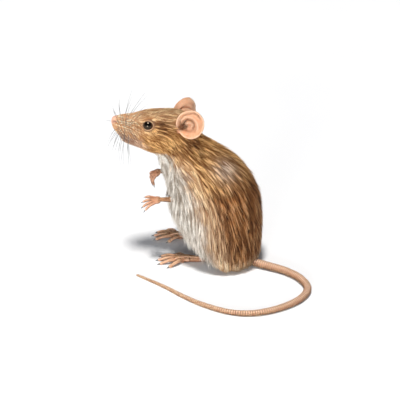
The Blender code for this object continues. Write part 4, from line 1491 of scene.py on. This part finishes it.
# %% Root the coat
BARE_RIM = 0.28  # mm without hair round each eyeball
roots, normals = scattered(
    body, lambda places: np.interp(body_place(places)[0], COAT_STOPS, TUFTS_PER_MM2)
)
pad, nostril, _, mouth, *_ = muzzle_lines(roots)
bare = (pad > 0.3) | (nostril > 0.4) | (mouth > 0.7)
for centre in EYES.values():
    bare |= np.linalg.norm(roots - centre, axis=1) < EYE_RADIUS + BARE_RIM
roots, normals = roots[~bare], normals[~bare]
along, around, reach, ways = body_place(roots)
ways = coat_way(roots, normals, ways)
print("tufts on the body:", len(roots))


# %% Size the tufts
def by_place(stops):
    """A measure of the coat at each root, from its values along the body."""
    return np.interp(along, COAT_STOPS, stops)


over = rng.random(len(roots)) < OVER_SHARE
length = by_place(COAT_LENGTH) * rng.uniform(0.75, 1.15, len(roots)) * np.where(over, 1.1, 0.9)
width = by_place(COAT_WIDTH) * rng.uniform(0.8, 1.2, len(roots)) * np.where(over, 0.6, 1.3)
depth = coat_depth(roots)
print("longest tuft:", round(float(length.max()), 1), "mm")

# %% [markdown]
# ## Locks
# Fur doesn't lie hair by hair. Neighbouring hairs cling together in long narrow locks, and on
# a brown coat they show as fine light streaks. Some tufts, picked at random, lead a lock each.
# Measured in lock widths round the body and in lock lengths along it, the nearest leader is
# the one that a tuft belongs to, and a k-d tree finds it quickly. The tufts of a lock share
# their lean, tone and markings, and their tips are drawn to its middle.
# Locks next to each other take turns to be light and dark. A plain random tone would leave
# blotches, so each lock's tone counts only by how much it differs from its neighbours' tones.

# %% Gather the tufts in locks
LOCK_WIDTH = (0.17, 0.17, 0.18, 0.19, 0.2, 0.2, 0.21, 0.21, 0.21, 0.21)
LOCK_STRETCH = 15.0  # how many times longer than wide a lock is
HALF_STEPS = np.arange(0.0, 90.0, 0.5)  # every half millimetre along the body
lock_width = by_place(LOCK_WIDTH)
in_a_lock = by_place(TUFTS_PER_MM2) * THINNED * lock_width**2 * LOCK_STRETCH
heads = np.flatnonzero(rng.random(len(roots)) < 1.0 / in_a_lock)
widths_along = np.cumsum(0.5 / np.interp(HALF_STEPS, COAT_STOPS, LOCK_WIDTH))
spots = np.stack(
    (
        reach * np.sin(around) / lock_width,
        reach * np.cos(around) / lock_width,
        np.interp(along, HALF_STEPS, widths_along) / LOCK_STRETCH,
    ),
    -1,
)
lock_tree = KDTree(len(heads))
for number, index in enumerate(heads):
    lock_tree.insert(spots[index], number)
lock_tree.balance()
lock = np.array([lock_tree.find(spot)[1] for spot in spots])
lock_lean = rng.normal(0.0, 0.05, len(heads))[lock]
print("locks:", len(heads))

# %% Give each lock its tone
LIGHT_LOCKS = 0.19  # the share of locks that are light and lie on top
NEIGHBOURS = 8  # how many locks near it one is compared with
DARKEST, TONE_RISE = 0.16, 0.48  # the tone of the darkest lock, and how far it rises from there
drawn_tone = rng.random(len(heads))
neighbours = [
    [number for _, number, _ in lock_tree.find_n(spots[index], NEIGHBOURS)] for index in heads
]
contrast = drawn_tone - drawn_tone[np.array(neighbours)].mean(1)
rank = np.argsort(np.argsort(contrast)) / len(heads)
lock_tone = np.where(rank > 1 - LIGHT_LOCKS, 1.0, DARKEST + TONE_RISE * rank)[lock]
lock_proud = (rng.random(len(heads)) ** 3)[lock]
lock_shift = rng.normal(0.0, 0.5, (len(heads), 3))[lock]  # where it takes its markings from

# %% Set the bends and tips over the skin
# Each bend and tip keeps its own height over the skin that lies right under it, so the coat
# hugs every curve. The hairs on top are higher, and those of the light locks highest.
LOCK_PULL = 0.75  # how far a tip is drawn to the middle of its lock
BEND_AT, ROOT_SUNK = 0.42, 0.08  # where a tuft bends, and how deep in the skin it stands
right = np.cross(ways, normals)
lean = lock_lean + rng.normal(0.0, 0.03, len(roots))
ways = unit(ways + right * lean[:, None])
tips = roots + ways * length[:, None]
aside = (around - around[heads][lock] + np.pi) % (2 * np.pi) - np.pi
drawn = np.clip(aside * reach, -1.0, 1.0) * LOCK_PULL
tips = tips + right * drawn[:, None]

bends, _ = settled(roots + (tips - roots) * BEND_AT, 0)
tips, tip_normals = settled(tips, 0)
marks = markings((bends + tips) / 2 + lock_shift)
marks["line"] = face_shade_and_whisker_dots((bends + tips) / 2)
lift = np.where(over, 0.4 + 0.45 * lock_tone, 0.1 + 0.2 * lock_tone)
lift = lift + 0.15 * rng.random(len(roots))
proud = (lock_proud + 0.4 * rng.random(len(roots)) ** 4) * length / 5.0
proud = proud * (0.5 + 1.2 * marks["white"] + 0.9 * marks["hem"])
bends = bends + normals * (depth * (0.35 + 0.4 * lift) + 0.35 * proud)[:, None]
tips = tips + tip_normals * (depth * (0.5 + 0.75 * lift) + proud)[:, None]
roots = roots - normals * ROOT_SUNK

# %% Keep the eyes and ears clear
# Tips that would lie on an eye are shortened. Tufts that still come too near, that stand
# inside an ear, or that would run through its sheet are dropped.
TIP_GAP, EYE_GAP = 0.34, 0.12
clear = np.ones(len(roots), bool)
for centre in EYES.values():
    near = np.linalg.norm(tips - centre, axis=1) < EYE_RADIUS + TIP_GAP
    tips[near] = bends[near] + (tips[near] - bends[near]) * 0.15
    for part in (tips, bends):
        clear &= np.linalg.norm(part - centre, axis=1) > EYE_RADIUS + EYE_GAP
for side, _ in SIDES:
    for part, edge in ((roots, 0.98), (bends, 0.96), (tips, 0.8)):
        outline, in_front = under_ear(side, part)
        clear &= (outline > edge) | (in_front < -0.7) | (in_front > CUP_REACH)
for (side, _), (sheet, *_) in zip(SIDES, ears):
    sheet_faces = [[corner for corner in face if corner >= 0] for face in sheet[1].tolist()]
    sheet_tree = BVHTree.FromPolygons(sheet[0].tolist(), sheet_faces)
    close = np.linalg.norm(ear_place(side, roots) - (0, 0, EAR_HEIGHT / 2), axis=1) < EAR_HEIGHT
    for index in np.flatnonzero(close & clear):
        run = Vector(tips[index] - roots[index])
        hit = sheet_tree.ray_cast(Vector(roots[index]), run, run.length)
        clear[index] = hit[0] is None
print("dropped at the eyes and ears:", int((~clear).sum()))

# %% Divide the coat into pieces
shared = 0.8 * lock_tone + 0.2 * rng.random(len(roots))
shared = np.where(over, shared, 0.6 * shared)
guard_share = 0.04 + 0.06 * marks["dark"] * (1 - marks["white"])
guard = (rng.random(len(roots)) < guard_share * (along > 14)).astype(float)
values = {"tone": shared, "guard": guard, **marks}
angle = np.degrees(np.abs(around))
left = around > 0
REGIONS = {
    "coat_face": along < 15,
    "coat_head": (along >= 15) & (along < 27),
    "coat_neck": (along >= 27) & (along < 38),
    "coat_breast": (along >= 38) & (along < 56) & (angle < 62),
    "coat_belly": (along >= 56) & (angle < 62),
    "coat_shoulder_left": (along >= 38) & (along < 56) & (angle >= 62) & left,
    "coat_shoulder_right": (along >= 38) & (along < 56) & (angle >= 62) & ~left,
    "coat_haunch_left": (along >= 56) & (angle >= 62) & left,
    "coat_haunch_right": (along >= 56) & (angle >= 62) & ~left,
}
arrays = tuft_arrays(roots, bends, tips, normals, tip_normals, width)
unwrap = np.stack((around / (2 * np.pi), along / SEAT), -1)
coat_triangles = 0
for name, inside in REGIONS.items():
    chosen = inside & clear
    coat_triangles += coat_piece(
        name,
        tuple(array[chosen] for array in arrays),
        unwrap[chosen],
        {key: value[chosen] for key, value in values.items()},
    )

# %% [markdown]
# ## Down on the ears, legs and tail
# The bare parts are not quite bare. Short flat hairs cover the forearms and the tops of the
# feet, a fine down grows on the ears, and short bristles lie over the scale rows of the tail.
# They are the same tufts, only much smaller, and all on one part lie the same way.

# %% Short hairs of one part
EXTRA_KEYS = (*MARKS, "guard")


def toned(count, tones):
    """What the coat's finish reads, the same for all these hairs but for a random tone."""
    values = {key: np.full(count, tones.get(key, 0.0)) for key in EXTRA_KEYS}
    values["tone"] = rng.random(count)
    return values


def short_hairs(name, shape, way, unwrap, keep, *, per_mm2, length, width, rise, tones):
    """Hairs over the places of a shape that are to be kept. Returns how many triangles."""
    roots, normals = scattered(shape, lambda places: np.full(len(places), per_mm2))
    kept = keep(roots, normals)
    roots, normals = roots[kept], normals[kept]
    ways = laid_flat(way + rng.normal(0.0, 0.14, roots.shape), normals)
    size = (length * rng.uniform(0.7, 1.2, len(roots)))[:, None]
    bends = roots + ways * size * 0.45 + normals * rise * 0.6
    tips = roots + ways * size + normals * rise * 0.8
    arrays = tuft_arrays(roots, bends, tips, normals, normals, np.full(len(roots), width))
    return coat_piece(name, arrays, unwrap(roots), toned(len(roots), tones))


def on_the_arm(roots, elbow, wrist):
    """The roots between the body's coat and the wrist."""
    way = unit(wrist - elbow)
    along = (roots - wrist) @ way
    off = np.linalg.norm(roots - wrist - np.outer(along, way), axis=1)
    near = np.array([skin_tree.find(root)[1] for root in roots])
    gap = ((roots - body[0][near]) * skin_normals[near]).sum(1)
    return (along < 0.5) & (off < 2.0) & (gap > 0.8)


def limb_unwrap(start, end):
    """Round a straight limb and along it."""
    axis = unit(end - start)
    side = unit(np.cross(axis, (0.2, 0.3, 1.0)))
    over = np.cross(axis, side)

    def unwrap(points):
        away = points - start
        return np.stack((np.arctan2(away @ over, away @ side), away @ axis), -1)

    return unwrap


# %% Hairs on the feet and forearms
TOES_FROM = 0.93  # the share of the foot beyond which the toes are bare
for (_, word), (foot, _), (leg, _) in zip(SIDES, hind_feet, forelegs):
    heel, toe = (np.array((*spot, 1.0)) for spot in HIND_FEET[word])
    forward = unit(toe - heel)
    coat_triangles += short_hairs(
        f"hair_foot_{word}",
        foot,
        forward + (0, 0, -0.1),
        limb_unwrap(heel, toe),
        lambda roots, normals: (normals[:, 2] > 0.1)
        & ((roots - heel) @ forward < TOES_FROM * HIND_FOOT_LENGTH),
        per_mm2=12.0,
        length=0.7,
        width=0.05,
        rise=0.06,
        tones={"pale": 0.5, "dark": 0.2},
    )
    elbow, wrist, aim = (np.array(joint) for joint in FORELEGS[word][:3])
    coat_triangles += short_hairs(
        f"hair_arm_{word}",
        leg,
        unit(aim - elbow),
        limb_unwrap(elbow, aim),
        lambda roots, normals: on_the_arm(roots, elbow, wrist),
        per_mm2=20.0,
        length=0.8,
        width=0.07,
        rise=0.08,
        tones={"pale": 0.1, "dark": 0.8},
    )

# %% Down on the ears
for (side, word), (sheet, *_) in zip(SIDES, ears):
    turn = np.array(ear_frame(side))
    coat_triangles += short_hairs(
        f"hair_ear_{word}",
        sheet,
        turn[:3, 2],
        lambda roots: ((roots - turn[:3, 3]) @ turn[:3, :3])[:, (0, 2)],
        lambda roots, normals: np.ones(len(roots), bool),
        per_mm2=9.0,
        length=0.75,
        width=0.045,
        rise=0.12,
        tones={"pale": 1.0},
    )

# %% Bristles on the tail
BRISTLES = 4200
BRISTLE_WIDTH, BRISTLE_ROOT = 0.05, 0.05


def bristles():
    """Tufts over the tail, all but its underside, and their places on an unwrap of it."""
    line, radius, share = tail_bones
    picks = rng.integers(12, len(line) - 4, BRISTLES)
    turn = rng.uniform(-0.25 * np.pi, 1.25 * np.pi, BRISTLES)
    way = unit(np.gradient(line, axis=0))[picks]
    side = unit(np.cross(way, (0.0, 0.0, 1.0)))
    out = side * np.cos(turn)[:, None] + np.cross(side, way) * np.sin(turn)[:, None]
    length = rng.uniform(0.7, 1.1, BRISTLES)[:, None]
    start = line[picks] + out * (radius[picks, None] - BRISTLE_ROOT)
    bend = start + way * length * 0.45 + out * 0.12
    tip = start + way * length + out * 0.14
    arrays = tuft_arrays(start, bend, tip, out, out, np.full(BRISTLES, BRISTLE_WIDTH))
    return arrays, np.stack((turn, share[picks] * 12.0), -1)


coat_triangles += coat_piece("hair_tail", *bristles(), toned(BRISTLES, {"pale": 0.6, "dark": 0.4}))
print("triangles in the coat:", coat_triangles)

# %% [markdown]
# ## Floor, light and camera
# A museum shows a small specimen on a pale sweep under large soft lamps. The key lamp is a
# broad sun almost straight above, so that the head and breast throw a soft grey shadow on the
# floor below them. A low, weak lamp beside the camera lights the face and the belly. The world
# fills the rest, with bright walls and a dark ceiling. The camera stands a little above the
# mouse, with a long lens, so that the body keeps its true proportions.

# %% Floor
FLOOR_HALF = 4000  # mm from its middle to its edges
floor_finish = Finish("floor", Roughness=0.9, Specular_IOR_Level=0.1)
cloudy = floor_finish.mottle(60.0)
floor_colour = floor_finish.mix(cloudy, colour(247, 247, 248), colour(250, 250, 250))
floor_finish.connect("Base Color", floor_colour)
floor_points = np.array(((-1, -1, 0), (1, -1, 0), (1, 1, 0), (-1, 1, 0)), float) * FLOOR_HALF
floor_mesh = mesh_from("floor", (floor_points, np.array([[0, 1, 2, 3]])), MM)
floor_mesh.materials.append(floor_finish.material)
floor = bpy.data.objects.new("floor", floor_mesh)
bpy.context.scene.collection.objects.link(floor)

# %% World and lamps
world = bpy.data.worlds.new("studio")
world.use_nodes = True
bpy.context.scene.world = world
room = Graph(world.node_tree, "Background")
height = room.node("SeparateXYZ", {}, {0: room.node("TexCoord", output="Generated")}, 2)
walls, ceiling = (0.75, 0.82, 0.92, 1.0), (0.07, 0.08, 0.1, 1.0)
room.connect("Color", room.mix(height.above(0.1, 0.34), walls, ceiling))
AIM = (0, 0, 0.02)  # about the middle of the mouse, in metres


def lamp(kind, name, place, power, **settings):
    """A lamp at this place, aimed at the mouse."""
    light = bpy.data.lights.new(name, kind)
    light.energy = power
    for setting, value in settings.items():
        setattr(light, setting, value)
    holder = bpy.data.objects.new(name, light)
    holder.location = place
    aim = Vector(AIM) - Vector(place)
    holder.rotation_euler = aim.to_track_quat("-Z", "Y").to_euler()
    bpy.context.scene.collection.objects.link(holder)


lamp("SUN", "key", (0.16, -0.07, 1.0), 3.0, angle=math.radians(10.0), color=(1.0, 0.985, 0.96))
lamp("AREA", "fill", (0.7, -0.24, 0.1), 5.0, shape="DISK", size=0.32, color=(0.95, 0.98, 1.0))

# %% Camera
LOOK_AT, AZIMUTH, ELEVATION, DISTANCE = (0.0, -0.0104, 0.0214), 90.0, 26.0, 0.411  # metres
camera = bpy.data.objects.new("camera", bpy.data.cameras.new("camera"))
camera.data.lens, camera.data.sensor_width, camera.data.clip_start = 100.0, 36.0, 0.01
turn, rise = math.radians(AZIMUTH), math.radians(ELEVATION)
level = Vector((math.sin(turn), -math.cos(turn), 0.0))
backward = level * math.cos(rise) + Vector((0.0, 0.0, math.sin(rise)))
camera.location = Vector(LOOK_AT) + backward * DISTANCE
camera.rotation_euler = (-backward).to_track_quat("-Z", "Y").to_euler()
bpy.context.scene.collection.objects.link(camera)
bpy.context.scene.camera = camera
bpy.context.scene.view_settings.view_transform = "Standard"
